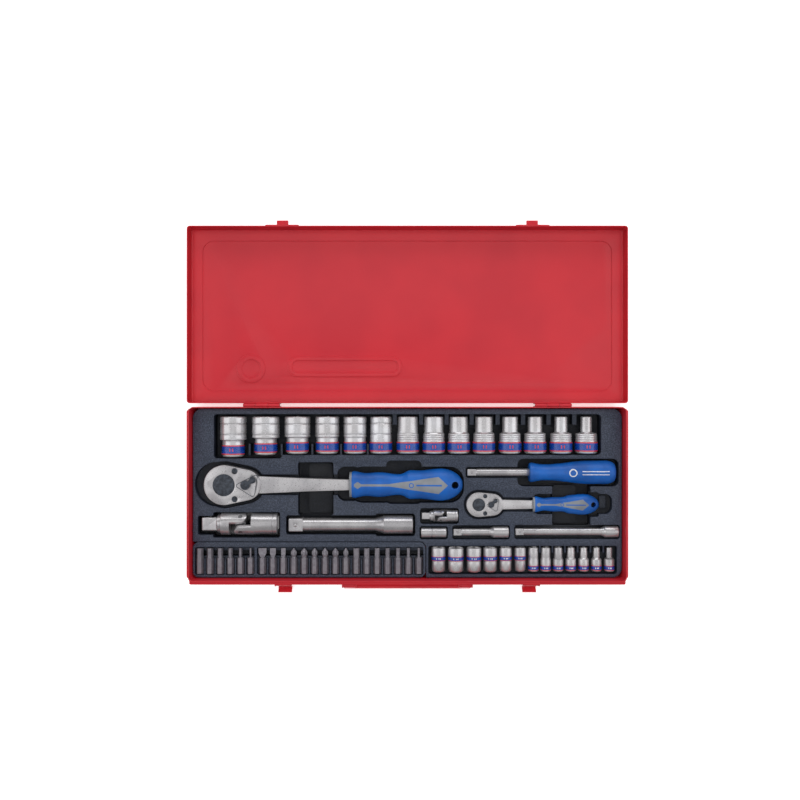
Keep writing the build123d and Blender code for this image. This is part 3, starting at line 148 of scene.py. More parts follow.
class ShaderSheet:
    """Node tree of one material, with the few nodes that the finishes share."""

    def __init__(self, name: str) -> None:
        """Start a material with its principled shader.

        Args:
            name: the material's name.
        """
        self.material = bpy.data.materials.new(name)
        self.material.use_nodes = True
        self.tree = self.material.node_tree
        self.shader = self.tree.nodes["Principled BSDF"]
        self.place = self.tree.nodes.new("ShaderNodeTexCoord").outputs["Object"]

    def put(self, socket: str, value: object) -> None:
        """Set one of the shader's own sockets."""
        self.shader.inputs[socket].default_value = value

    def noise(self, grain_mm: float, detail: float = 3.0, along: Along = Along.NONE) -> bpy.types.NodeSocket:
        """Add a noise over the surface.

        Args:
            grain_mm: size of the noise's grains.
            detail: number of finer layers.
            along: direction in which the grains are drawn out.

        Returns:
            The noise's factor.
        """
        mapping = self.tree.nodes.new("ShaderNodeMapping")
        mapping.inputs["Scale"].default_value = along.value
        texture = self.tree.nodes.new("ShaderNodeTexNoise")
        texture.inputs["Scale"].default_value = 1.0 / (grain_mm * MM)
        texture.inputs["Detail"].default_value = detail
        self.tree.links.new(self.place, mapping.inputs["Vector"])
        self.tree.links.new(mapping.outputs["Vector"], texture.inputs["Vector"])
        return texture.outputs["Fac"]

    def ramp(
        self, source: bpy.types.NodeSocket, low: float, high: float, first: Color, second: Color
    ) -> bpy.types.NodeSocket:
        """Blend two colours over a range of a factor.

        Args:
            source: the factor.
            low: the factor where the blend starts.
            high: the factor where it ends.
            first: colour below low.
            second: colour above high.

        Returns:
            The blended colour.
        """
        ramp = self.tree.nodes.new("ShaderNodeValToRGB")
        ramp.color_ramp.elements[0].position = low
        ramp.color_ramp.elements[1].position = high
        ramp.color_ramp.elements[0].color = first
        ramp.color_ramp.elements[1].color = second
        self.tree.links.new(source, ramp.inputs["Fac"])
        return ramp.outputs["Color"]

    def spread(self, source: bpy.types.NodeSocket, low: float, high: float, socket: str) -> None:
        """Let a factor drive one shader socket between two values.

        Args:
            source: the factor.
            low: value at factor 0.3.
            high: value at factor 0.7.
            socket: name of the shader's socket.
        """
        spread = self.tree.nodes.new("ShaderNodeMapRange")
        spread.inputs["From Min"].default_value = 0.3
        spread.inputs["From Max"].default_value = 0.7
        spread.inputs["To Min"].default_value = low
        spread.inputs["To Max"].default_value = high
        self.tree.links.new(source, spread.inputs["Value"])
        self.tree.links.new(spread.outputs["Result"], self.shader.inputs[socket])

    def relief(self, source: bpy.types.NodeSocket, height_mm: float, strength: float) -> None:
        """Bump the surface by a factor, on top of any earlier bump.

        Args:
            source: the factor.
            height_mm: full height of the bump.
            strength: share of it that shows.
        """
        bump = self.tree.nodes.new("ShaderNodeBump")
        bump.inputs["Distance"].default_value = height_mm * MM
        bump.inputs["Strength"].default_value = strength
        self.tree.links.new(source, bump.inputs["Height"])
        normal = self.shader.inputs["Normal"]
        if normal.is_linked:
            self.tree.links.new(normal.links[0].from_socket, bump.inputs["Normal"])
        self.tree.links.new(bump.outputs["Normal"], normal)

    def paint_shade_by_height(
        self, color: bpy.types.NodeSocket, low_mm: float, high_mm: float, share: float
    ) -> bpy.types.NodeSocket:
        """Darken a colour towards the bottom of the piece: painted shade, standing in for the shadow that
        falls into deep hollows.

        Args:
            color: the colour at the top.
            low_mm: height below which it is darkest.
            high_mm: height above which it is unchanged.
            share: brightness that is left at the bottom.

        Returns:
            The darkened colour.
        """
        # painted shade: the colour is scaled down by height, darkest at the bottom
        parts = self.tree.nodes.new("ShaderNodeSeparateXYZ")
        self.tree.links.new(self.place, parts.inputs["Vector"])
        level = self.tree.nodes.new("ShaderNodeMapRange")
        level.inputs["From Min"].default_value = low_mm * MM
        level.inputs["From Max"].default_value = high_mm * MM
        level.inputs["To Min"].default_value = share
        level.inputs["To Max"].default_value = 1.0
        self.tree.links.new(parts.outputs["Z"], level.inputs["Value"])
        scale = self.tree.nodes.new("ShaderNodeVectorMath")
        scale.operation = "SCALE"
        self.tree.links.new(color, scale.inputs["Vector"])
        self.tree.links.new(level.outputs["Result"], scale.inputs["Scale"])
        return scale.outputs["Vector"]

    def tint(self, color: bpy.types.NodeSocket) -> None:
        """Use a colour as the base colour."""
        self.tree.links.new(color, self.shader.inputs["Base Color"])


@dataclass(frozen=True)
class PaintedSteel:
    """Satin enamel on pressed steel: faint orange peel and slow changes of tone."""

    name: str = "enamel"
    tone: Tone = Tone.RED
    deep: Tone = Tone.RED_DEEP
    peel_mm: float = 1.1
    roughness: tuple[float, float] = (0.31, 0.36)

    def make(self) -> bpy.types.Material:
        """Build the material.

        Returns:
            The enamel.
        """
        sheet = ShaderSheet(self.name)
        clouds = sheet.noise(60.0, 2.0)
        sheet.tint(sheet.ramp(clouds, 0.35, 0.65, paint(self.tone.value), paint(self.deep.value)))
        sheet.spread(sheet.noise(9.0, 4.0), self.roughness[0], self.roughness[1], "Roughness")
        sheet.relief(sheet.noise(self.peel_mm, 2.0), 0.05, 0.25)
        sheet.put("Specular IOR Level", 0.35)
        return sheet.material


@dataclass(frozen=True)
class MouldedTray:
    """Blow moulded tray plastic: fine spark grain with lighter speckles, and painted shade that darkens the
    pocket floors.
    """

    name: str = "tray_plastic"
    tone: Tone = Tone.TRAY
    light: Tone = Tone.TRAY_LIGHT
    grain_mm: float = 1.1
    # painted shade: heights in millimetres between which the pocket floors are darkened, and the brightness
    # left at the bottom
    shade_darkest_mm: float = 14.0
    shade_clear_mm: float = 23.6
    shade_left_share: float = 0.16

    def make(self) -> bpy.types.Material:
        """Build the material.

        Returns:
            The tray plastic.
        """
        sheet = ShaderSheet(self.name)
        grain = sheet.noise(self.grain_mm, 5.0)
        speckle = sheet.ramp(grain, 0.42, 0.72, paint(self.tone.value), paint(self.light.value))
        # painted shade: the speckled colour darkens towards the pocket floors, in place of the shadow that
        # falls into them
        sheet.tint(sheet.paint_shade_by_height(speckle, self.shade_darkest_mm, self.shade_clear_mm, self.shade_left_share))
        sheet.spread(sheet.noise(14.0, 3.0), 0.48, 0.62, "Roughness")
        sheet.relief(grain, 0.18, 0.5)
        sheet.relief(sheet.noise(26.0, 1.0), 0.4, 0.2)
        return sheet.material


@dataclass(frozen=True)
class Plated:
    """Nickel and chrome plate over ground steel."""

    name: str
    tone: Tone
    shade: Tone
    roughness: tuple[float, float]
    along: Along = Along.NONE
    grind_mm: float = 0.5
    grind_height_mm: float = 0.02
    metallic: float = 0.92

    def make(self) -> bpy.types.Material:
        """Build the material.

        Returns:
            The plate.
        """
        sheet = ShaderSheet(self.name)
        grind = sheet.noise(self.grind_mm, 3.0, self.along)
        patches = sheet.noise(18.0, 3.0)
        sheet.tint(sheet.ramp(patches, 0.4, 0.62, paint(self.tone.value), paint(self.shade.value)))
        sheet.spread(grind, self.roughness[0], self.roughness[1], "Roughness")
        sheet.relief(grind, self.grind_height_mm, 0.4)
        sheet.put("Metallic", self.metallic)
        return sheet.material


@dataclass(frozen=True)
class BareSteel:
    """Blasted, phosphated or blackened steel with a dull mottled skin."""

    name: str
    tone: Tone
    deep: Tone
    metallic: float
    roughness: tuple[float, float]

    def make(self) -> bpy.types.Material:
        """Build the material.

        Returns:
            The steel.
        """
        sheet = ShaderSheet(self.name)
        skin = sheet.noise(3.0, 3.0)
        sheet.tint(sheet.ramp(skin, 0.36, 0.66, paint(self.tone.value), paint(self.deep.value)))
        sheet.spread(sheet.noise(4.0, 3.0), self.roughness[0], self.roughness[1], "Roughness")
        sheet.relief(sheet.noise(0.5, 2.0), 0.015, 0.4)
        sheet.put("Metallic", self.metallic)
        return sheet.material


@dataclass(frozen=True)
class SoftGrip:
    """Two tone grip plastic with a fine matt texture."""

    name: str
    tone: Tone
    deep: Tone

    def make(self) -> bpy.types.Material:
        """Build the material.

        Returns:
            The grip plastic.
        """
        sheet = ShaderSheet(self.name)
        patches = sheet.noise(22.0, 3.0)
        sheet.tint(sheet.ramp(patches, 0.35, 0.65, paint(self.tone.value), paint(self.deep.value)))
        sheet.spread(sheet.noise(7.0, 4.0), 0.36, 0.5, "Roughness")
        sheet.relief(sheet.noise(0.4, 2.0), 0.05, 0.5)
        return sheet.material


@dataclass(frozen=True)
class BandEnamel:
    """Thin gloss enamel of the socket bands."""

    name: str
    tone: Tone

    def make(self) -> bpy.types.Material:
        """Build the material.

        Returns:
            The enamel.
        """
        sheet = ShaderSheet(self.name)
        rgb = paint(self.tone.value)
        worn = (rgb[0] * 0.75, rgb[1] * 0.75, rgb[2] * 0.78, 1.0)
        sheet.tint(sheet.ramp(sheet.noise(2.5, 4.0), 0.4, 0.66, rgb, worn))
        sheet.spread(sheet.noise(1.2, 3.0), 0.2, 0.34, "Roughness")
        sheet.relief(sheet.noise(0.8, 2.0), 0.02, 0.4)
        sheet.put("Coat Weight", 0.4)
        sheet.put("Coat Roughness", 0.12)
        return sheet.material


class Finish(Enum):
    ENAMEL = (PaintedSteel(), "red_paint")
    TRAY = (MouldedTray(), "tray_plastic")
    POLISHED = (
        Plated("polished_chrome", Tone.CHROME, Tone.CHROME_SATIN, (0.2, 0.28), Along.NONE, 1.6, 0.01, 0.62),
        "polished_chrome",
    )
    KNURL = (
        Plated(
            "knurled_chrome", Tone.CHROME_SATIN, Tone.CHROME_SHADE, (0.3, 0.4), Along.NONE, 1.1, 0.25, 0.65
        ),
        "satin_chrome",
    )
    SATIN_X = (
        Plated(
            "satin_chrome_x", Tone.CHROME_SATIN, Tone.CHROME_SHADE, (0.26, 0.36), Along.Y, 0.6, 0.006, 0.8
        ),
        "satin_chrome",
    )
    SATIN = (
        Plated(
            "satin_chrome", Tone.CHROME_SATIN, Tone.CHROME_SHADE, (0.26, 0.36), Along.NONE, 0.9, 0.006, 0.7
        ),
        "satin_chrome",
    )
    BIT = (BareSteel("bit_steel", Tone.BIT, Tone.BIT_DARK, 0.85, (0.42, 0.55)), "bit_steel")
    PIN = (BareSteel("zinc_pin", Tone.PIN, Tone.PIN_DARK, 0.9, (0.3, 0.45)), "pin_steel")
    BLACK = (
        BareSteel("blackened", Tone.BLACKENED, Tone.BLACKENED_LIGHT, 0.3, (0.35, 0.5)),
        "blackened_steel",
    )
    BLUE = (SoftGrip("grip_blue", Tone.BLUE, Tone.BLUE_DEEP), "grip_blue")
    GREY = (SoftGrip("grip_grey", Tone.GREY, Tone.GREY_DEEP), "grip_grey")
    BAND = (BandEnamel("band_blue", Tone.BAND), "polished_chrome")
    BAND_EDGE = (BandEnamel("band_red", Tone.BAND_EDGE), "polished_chrome")
    MARK = (BandEnamel("band_white", Tone.WHITE), "polished_chrome")

    @property
    def slot(self) -> str:
        """Slot in the record's list of materials."""
        return self.value[1]

    def material(self) -> bpy.types.Material:
        """Material of this finish, made at its first use.

        Returns:
            The material.
        """
        found = bpy.data.materials.get(self.value[0].name)
        return found if found is not None and found.get("kit_finish") else self._first()

    def _first(self) -> bpy.types.Material:
        """Returns:
            The new material.
        """
        made = self.value[0].make()
        made["kit_finish"] = True
        return made


class Bench:
    """Hand tools for shaping meshes: what is selected is worked on."""

    @staticmethod
    def clear() -> None:
        """Leave edit mode and deselect everything."""
        if bpy.context.object is not None and bpy.context.object.mode != "OBJECT":
            bpy.ops.object.mode_set(mode="OBJECT")
        bpy.ops.object.select_all(action="DESELECT")

    @staticmethod
    def pick(piece: bpy.types.Object) -> None:
        """Select one object and make it the active one."""
        Bench.clear()
        piece.select_set(True)
        bpy.context.view_layer.objects.active = piece

    @staticmethod
    def settle(piece: bpy.types.Object) -> None:
        """Put the object's place, turn and scale into its mesh."""
        Bench.pick(piece)
        bpy.ops.object.transform_apply(location=True, rotation=True, scale=True)

    @staticmethod
    def dress(piece: bpy.types.Object, finish: Finish) -> None:
        """Give an object one finish all over."""
        piece.data.materials.clear()
        piece.data.materials.append(finish.material())

    @staticmethod
    def smooth(piece: bpy.types.Object, angle: float = 32.0) -> None:
        """Shade smooth across edges flatter than an angle in degrees."""
        Bench.pick(piece)
        bpy.ops.object.shade_smooth_by_angle(angle=math.radians(angle))

    @staticmethod
    def round_edges(piece: bpy.types.Object, width_mm: float, angle: float = 30.0, segments: int = 2) -> None:
        """Round the edges sharper than an angle.

        Args:
            piece: the object.
            width_mm: width of the rounding.
            angle: edges that turn by more than this many degrees are rounded.
            segments: number of steps in the rounding.
        """
        Bench.pick(piece)
        bevel = piece.modifiers.new("rounding", "BEVEL")
        bevel.width = width_mm * MM
        bevel.segments = segments
        bevel.limit_method = "ANGLE"
        bevel.angle_limit = math.radians(angle)
        bevel.use_clamp_overlap = True
        bpy.ops.object.modifier_apply(modifier=bevel.name)

    @staticmethod
    def copy_of(node: bpy.types.Object, name: str) -> bpy.types.Object:
        """Copy a frame node's mesh into a new object and join its loose faces.

        Args:
            node: the frame node.
            name: the new object's name.

        Returns:
            The copy, with flat areas cleared of needless edges.
        """
        piece = bpy.data.objects.new(name, node.data.copy())
        piece.data.name = name
        bpy.context.scene.collection.objects.link(piece)
        Bench.pick(piece)
        bpy.ops.object.mode_set(mode="EDIT")
        bpy.ops.mesh.select_all(action="SELECT")
        bpy.ops.mesh.customdata_custom_splitnormals_clear()
        bpy.ops.mesh.remove_doubles(threshold=0.002 * MM)
        bpy.ops.mesh.dissolve_limited(angle_limit=math.radians(0.5))
        bpy.ops.object.mode_set(mode="OBJECT")
        return piece

    @staticmethod
    def turned(
        name: str, outline: Outline, origin: Vector, along: Vector, across: Vector, steps: int
    ) -> bpy.types.Object:
        """Spin an outline about an axis, as on a lathe.

        Args:
            name: the new object's name.
            outline: distance along the axis and radius of each corner, in millimetres.
            origin: point on the axis where distances start.
            along: direction of the axis.
            across: direction in which the outline's radius is drawn before it is spun.
            steps: number of facets around.

        Returns:
            The turned object.
        """
        points = [origin + along * (d * MM) + across * (r * MM) for d, r in outline]
        Bench.clear()
        bpy.ops.mesh.primitive_plane_add(size=MM, location=points[0])
        piece = bpy.context.object
        piece.name = name
        piece.data.name = name
        bpy.ops.object.transform_apply(location=True, rotation=True, scale=True)
        bpy.ops.object.mode_set(mode="EDIT")
        bpy.ops.mesh.select_mode(type="VERT")
        bpy.ops.mesh.select_all(action="SELECT")
        bpy.ops.mesh.merge(type="CENTER")
        for start, end in zip(points, points[1:]):
            bpy.ops.mesh.extrude_region_move(TRANSFORM_OT_translate={"value": end - start})
        bpy.ops.mesh.select_all(action="SELECT")
        bpy.ops.mesh.spin(steps=steps, angle=2 * math.pi, center=origin, axis=along)
        bpy.ops.mesh.select_all(action="SELECT")
        bpy.ops.mesh.remove_doubles(threshold=0.005 * MM)
        bpy.ops.mesh.normals_make_consistent(inside=False)
        bpy.ops.object.mode_set(mode="OBJECT")
        return piece


    @staticmethod
    def join(pieces: list[bpy.types.Object], name: str) -> bpy.types.Object:
        """Join pieces into one object.

        Args:
            pieces: the pieces.
            name: name of the joined object.

        Returns:
            The joined object.
        """
        Bench.pick(pieces[0])
        for piece in pieces[1:]:
            piece.select_set(True)
        bpy.ops.object.join()
        joined = bpy.context.object
        joined.name = name
        joined.data.name = name
        return joined

    @staticmethod
    def print_on(piece: bpy.types.Object, target: bpy.types.Object, thick_mm: float = 0.12) -> None:
        """Lay a flat, finely divided piece on a curved top and give it a thickness.

        Args:
            piece: the flat piece, above the target.
            target: what it is printed on.
            thick_mm: thickness of the print.
        """
        Bench.pick(piece)
        wrap = piece.modifiers.new("wrap", "SHRINKWRAP")
        wrap.target = target
        wrap.wrap_method = "PROJECT"
        wrap.use_project_z = True
        wrap.use_negative_direction = True
        wrap.use_positive_direction = False
        wrap.offset = thick_mm / 2 * MM
        bpy.ops.object.modifier_apply(modifier=wrap.name)
        skin = piece.modifiers.new("skin", "SOLIDIFY")
        skin.thickness = thick_mm * MM
        skin.offset = 0.0
        bpy.ops.object.modifier_apply(modifier=skin.name)

    @staticmethod
    def flat_bar(
        name: str, left: float, right: float, y: float, width: float, z: float, cells: int = 24
    ) -> bpy.types.Object:
        """Make a flat bar of fine cells, in millimetres.

        Args:
            name: the bar's name.
            left: its left end.
            right: its right end.
            y: its centre line.
            width: its width.
            z: its height.
            cells: number of cells along it.

        Returns:
            The bar.
        """
        Bench.clear()
        bpy.ops.mesh.primitive_grid_add(x_subdivisions=cells, y_subdivisions=3, size=MM)
        bar = bpy.context.object
        bar.name = name
        bar.data.name = name
        bar.scale = (right - left, width, 1.0)
        bar.location = ((left + right) / 2 * MM, y * MM, z * MM)
        Bench.settle(bar)
        return bar

    @staticmethod
    def flat_plate(
        name: str, corners: tuple[tuple[float, float], ...], z: float, corner_mm: float
    ) -> bpy.types.Object:
        """Make a flat plate with rounded corners, in millimetres.

        Args:
            name: the plate's name.
            corners: x and y of each corner.
            z: its height.
            corner_mm: how far back from each corner the rounding starts.

        Returns:
            The plate.
        """
        points = [Vector((x, y, z)) * MM for x, y in corners]
        Bench.clear()
        bpy.ops.mesh.primitive_plane_add(size=MM, location=points[0])
        plate = bpy.context.object
        plate.name = name
        plate.data.name = name
        Bench.settle(plate)
        bpy.ops.object.mode_set(mode="EDIT")
        bpy.ops.mesh.select_mode(type="VERT")
        bpy.ops.mesh.select_all(action="SELECT")
        bpy.ops.mesh.merge(type="CENTER")
        for start, end in zip(points, points[1:]):
            bpy.ops.mesh.extrude_region_move(TRANSFORM_OT_translate={"value": end - start})
        bpy.ops.mesh.select_all(action="SELECT")
        bpy.ops.mesh.edge_face_add()
        bpy.ops.mesh.bevel(offset=corner_mm * MM, segments=6, affect="VERTICES")
        bpy.ops.mesh.select_all(action="SELECT")
        bpy.ops.mesh.normals_make_consistent(inside=False)
        bpy.ops.object.mode_set(mode="OBJECT")
        if plate.data.polygons[0].normal.z < 0:
            bpy.ops.object.mode_set(mode="EDIT")
            bpy.ops.mesh.flip_normals()
            bpy.ops.object.mode_set(mode="OBJECT")
        return plate

    @staticmethod
    def flat_ring(name: str, x: float, y: float, outer: float, inner: float, z: float) -> bpy.types.Object:
        """Make a flat ring, in millimetres.

        Args:
            name: the ring's name.
            x: its centre.
            y: its centre.
            outer: its outer radius.
            inner: its inner radius.
            z: its height.

        Returns:
            The ring.
        """
        Bench.clear()
        bpy.ops.mesh.primitive_circle_add(
            vertices=40, radius=outer * MM, fill_type="NGON", location=(x * MM, y * MM, z * MM)
        )
        ring = bpy.context.object
        ring.name = name
        ring.data.name = name
        Bench.settle(ring)
        bpy.ops.object.mode_set(mode="EDIT")
        bpy.ops.mesh.select_all(action="SELECT")
        bpy.ops.mesh.inset(thickness=(outer - inner) * MM)
        bpy.ops.mesh.delete(type="FACE")
        bpy.ops.object.mode_set(mode="OBJECT")
        return ring


class Frame:
    """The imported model: its nodes, and how pieces are hung on it."""

    def __init__(self) -> None:
        """Load the frame and keep its box."""
        self.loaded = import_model()
        self.nodes = self.loaded["nodes"]
        self.cad_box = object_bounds()
        self.body_of = {}
        for body, members in self.loaded["record"]["behaviour"]["bodies"].items():
            for member in members:
                self.body_of[member] = body
        Bench.clear()

    def finish_all(self, names: list[str], finish: Finish, width_mm: float) -> None:
        """Stand rounded copies in for several nodes.

        Args:
            names: the nodes.
            finish: their finish.
            width_mm: width of the rounding.
        """
        for name in names:
            self.soften(name, finish, width_mm)

    def dress(self, names: list[str], finish: Finish) -> None:
        """Dress frame nodes that keep their shape.

        Args:
            names: the nodes.
            finish: their finish.
        """
        for name in names:
            Bench.dress(self.nodes[name], finish)
            LOG.info("dressed %s in %s", name, finish.name.lower())

    def hang(self, piece: bpy.types.Object, node: str, replaced: bool = False) -> None:
        """Let a new piece ride with a node's body.

        Args:
            piece: the new piece, in its place.
            node: the frame node that it belongs to.
            replaced: whether the piece stands for the node.
        """
        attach(piece, self.body_of[node])
        if replaced:
            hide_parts(node)
        LOG.info("made %s for %s", piece.name, node)

    def soften(self, name: str, finish: Finish, width_mm: float, angle: float = 30.0) -> bpy.types.Object:
        """Stand a copy with rounded edges in for a node.

        Args:
            name: the node.
            finish: the copy's finish.
            width_mm: width of the rounding.
            angle: edges that turn by more than this many degrees are rounded.

        Returns:
            The copy.
        """
        piece = Bench.copy_of(self.nodes[name], f"{name}_worked")
        Bench.round_edges(piece, width_mm, angle)
        Bench.smooth(piece)
        Bench.dress(piece, finish)
        self.hang(piece, name, replaced=True)
        return piece


@dataclass
class SteelCase:
    """Pressed steel base and lid with their hinges, latches and carry handle."""

    edge_mm: float = 0.35
    hardware_edge_mm: float = 0.25

    def build(self, frame: Frame) -> None:
        """Dress the case.

        Args:
            frame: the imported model.
        """
        frame.finish_all(["case_base", "case_lid"], Finish.ENAMEL, self.edge_mm)
        hardware = ["hinge_base_leaves", "hinge_lid_leaves", "lid_catches", "latch_brackets"]
        hardware += ["latch_left", "latch_right", "carry_handle", "handle_brackets"]
        frame.finish_all(hardware, Finish.ENAMEL, self.hardware_edge_mm)
        frame.dress(["hinge_pins", "latch_pins"], Finish.PIN)


@dataclass
class Trays:
    """The main tray and the bit tray in its corner."""

    edge_mm: float = 0.5

    def build(self, frame: Frame) -> None:
        """Dress the trays.

        Args:
            frame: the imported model.
        """
        frame.finish_all(["main_tray", "bit_tray"], Finish.TRAY, self.edge_mm)


@dataclass(frozen=True)
class BandPlace:
    """Where a socket's coloured band lies, measured from its mouth, in millimetres."""

    start: float
    end: float
    edge: float = 0.75


@dataclass
class TurnedSocket:
    """One socket: a turned body with its hexagon, bore and square, and its enamelled band."""

    name: str
    hexagon: float
    drive: float
    outline: Outline
    band: BandPlace
    band_radius: float
    mouth: Vector
    finish: Finish
    steps: int = 56
    round_mm: float = 0.22
    along: Vector = Vector((0, -1, 0))
    across: Vector = Vector((0, 0, 1))

    def body(self) -> bpy.types.Object:
        """Model the body with its cavities.

        Returns:
            The body.
        """
        closed = [(self.outline[0][0], 0.0), *self.outline, (self.outline[-1][0], 0.0)]
        body = Bench.turned(self.name, closed, self.mouth, self.along, self.across, self.steps)
        length = self.outline[-1][0]
        self._hollow(body, 6, self.hexagon / 2 / math.cos(math.pi / 6), 0.0, length * 0.42, 0.0)
        self._hollow(body, 4, self.drive / 2 * math.sqrt(2), length * 0.58, length, math.pi / 4)
        bore = min(self.hexagon, self.drive) / 2 - 0.3
        self._hollow(body, 32, bore, 0.0, length, 0.0)
        Bench.round_edges(body, self.round_mm)
        Bench.smooth(body)
        Bench.dress(body, self.finish)
        return body

    def _hollow(
        self, body: bpy.types.Object, sides: int, radius: float, start: float, end: float, turn: float
    ) -> None:
        """Cut a prism out of the body along its axis.

        Args:
            body: the socket's body.
            sides: number of the prism's sides.
            radius: distance from the axis to its corners, in millimetres.
            start: distance of its first end from the mouth; it runs past an open end.
            end: distance of its other end from the mouth.
            turn: turn about the axis, in radians.
        """
        length = self.outline[-1][0]
        first = -1.0 if start == 0.0 else start
        last = end + 1.0 if end == length else end
        middle = self.mouth + self.along * ((first + last) / 2 * MM)
        Bench.clear()
        bpy.ops.mesh.primitive_cylinder_add(
            vertices=sides,
            radius=radius * MM,
            depth=(last - first) * MM,
            location=middle,
            rotation=(math.pi / 2, turn, 0),
        )
        cutter = bpy.context.object
        Bench.pick(body)
        cut = body.modifiers.new("hollow", "BOOLEAN")
        cut.operation = "DIFFERENCE"
        cut.solver = "EXACT"
        cut.object = cutter
        bpy.ops.object.modifier_apply(modifier=cut.name)
        bpy.data.objects.remove(cutter)

    def wrap(self) -> bpy.types.Object:
        """Model the blue band with its red edges.

        Returns:
            The band.
        """
        low = self.band_radius - 0.3
        first, last, edge = self.band.start, self.band.end, self.band.edge
        ring = [(first, low), (first, self.band_radius - 0.04), (first + edge, self.band_radius)]
        ring += [(last - edge, self.band_radius), (last, self.band_radius - 0.04), (last, low), (first, low)]
        band = Bench.turned(f"{self.name}_band", ring, self.mouth, self.along, self.across, self.steps)
        Bench.smooth(band)
        Bench.dress(band, Finish.BAND)
        band.data.materials.append(Finish.BAND_EDGE.material())
        for face in band.data.polygons:
            reach = (face.center - self.mouth).dot(self.along) / MM
            face.material_index = int(reach < first + edge or reach > last - edge)
        return band

    def marks(self, turns: tuple[float, ...], width: float, tall: float, finish: Finish) -> bpy.types.Object:
        """Lay plain dashes on the band.

        Args:
            turns: turn of each dash from the top of the socket, in radians.
            width: width of a dash, in millimetres.
            tall: its height along the socket.
            finish: its finish.

        Returns:
            The dashes.
        """
        middle = self.mouth + self.along * ((self.band.start + self.band.end) / 2 * MM)
        radius = (self.band_radius - 0.09) * MM
        dashes = []
        for turn in turns:
            Bench.clear()
            out = Vector((math.sin(turn), 0.0, math.cos(turn)))
            bpy.ops.mesh.primitive_cube_add(size=MM, location=middle + out * radius, rotation=(0, turn, 0))
            dash = bpy.context.object
            dash.scale = (width, tall, 0.2)
            Bench.settle(dash)
            Bench.dress(dash, finish)
            dashes.append(dash)
        return Bench.join(dashes, f"{self.name}_marks")


@dataclass
class HalfSockets:
    """Fourteen polished sockets with a half inch square, large to small."""

    drive: float = 13.0
    waist: float = 10.6
    body: float = 10.5
    band_radius: float = 11.2

    def build(self, frame: Frame) -> None:
        """Turn every socket.

        Args:
            frame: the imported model.
        """
        for hexagon in range(20, 6, -1):
            node = f"socket_half_{hexagon}mm"
            low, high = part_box(node)
            length = (high.y - low.y) / MM
            mouth = Vector(((low.x + high.x) / 2, high.y, (low.z + high.z) / 2))
            wide = self._mouth_radius(frame.nodes[node], mouth)
            band = BandPlace(length - 11.4, length - 2.2, 1.15)
            socket = TurnedSocket(
                name=f"{node}_turned",
                hexagon=hexagon,
                drive=self.drive,
                outline=self._outline(hexagon, wide, length, band),
                band=band,
                band_radius=self.band_radius,
                mouth=mouth,
                finish=Finish.POLISHED,
            )
            frame.hang(socket.body(), node, replaced=True)
            frame.hang(socket.wrap(), node)
            frame.hang(socket.marks((-0.12, 0.12), 1.0, 3.0, Finish.BAND_EDGE), node)

    def _mouth_radius(self, node: bpy.types.Object, mouth: Vector) -> float:
        """Measure the socket's radius near its mouth.

        Args:
            node: the frame node.
            mouth: centre of the mouth.

        Returns:
            The radius in millimetres.
        """
        near = [v.co - mouth for v in node.data.vertices if mouth.y - v.co.y < 3 * MM]
        return max(math.hypot(v.x, v.z) for v in near) / MM

    def _outline(self, hexagon: int, wide: float, length: float, band: BandPlace) -> Outline:
        """Draw the turned outline, from the mouth to the drive end.

        Args:
            hexagon: size across the flats.
            wide: radius at the mouth.
            length: length of the socket.
            band: place of its band.

        Returns:
            Distance and radius of each corner.
        """
        if hexagon > 15:
            points = [(0, wide - 0.7), (0.5, wide - 0.15), (1.1, wide)]
            for groove in (6.9, 17.0):
                points += self._groove(groove, wide, 0.45)
            points += [(band.start - 5.2, wide), (band.start - 4.4, self.waist + 0.1)]
            points += [(band.start, self.waist)]
        elif wide > self.body - 0.3:
            points = [(0, wide - 0.7), (0.5, wide - 0.15), (1.1, wide)]
            for groove in (6.4, 16.8):
                points += self._groove(groove, wide, 0.4)
            points += [(band.start, wide)]
        else:
            points = [(0, wide - 0.6), (0.4, wide - 0.12), (1.0, wide), (14.8, wide), (15.3, wide + 0.1)]
            points += [(16.4, self.body - 0.45), (16.9, self.body)]
            for groove in (18.0, 20.1, 22.2):
                points += [(groove, self.body), (groove + 0.3, self.body - 0.3), (groove + 0.7, self.body)]
            points += [(band.start, self.body)]
        seat = self.band_radius - 0.2
        points += [(band.start, seat), (band.end, seat), (band.end + 0.1, self.body)]
        points += [(length - 1.3, self.body), (length - 0.4, self.body - 0.6)]
        return points + [(length, self.body - 1.4)]

    @staticmethod
    def _groove(start: float, radius: float, deep: float) -> Outline:
        """Draw one groove round the body, as the distance and radius of its four corners."""
        floor = radius - deep
        return [(start - 0.5, radius), (start - 0.1, floor), (start + 0.4, floor), (start + 0.8, radius)]


@dataclass(frozen=True)
class SmallSize:
    """Size and place of one quarter inch socket, in millimetres."""

    hexagon: float
    outer: float
    x: float


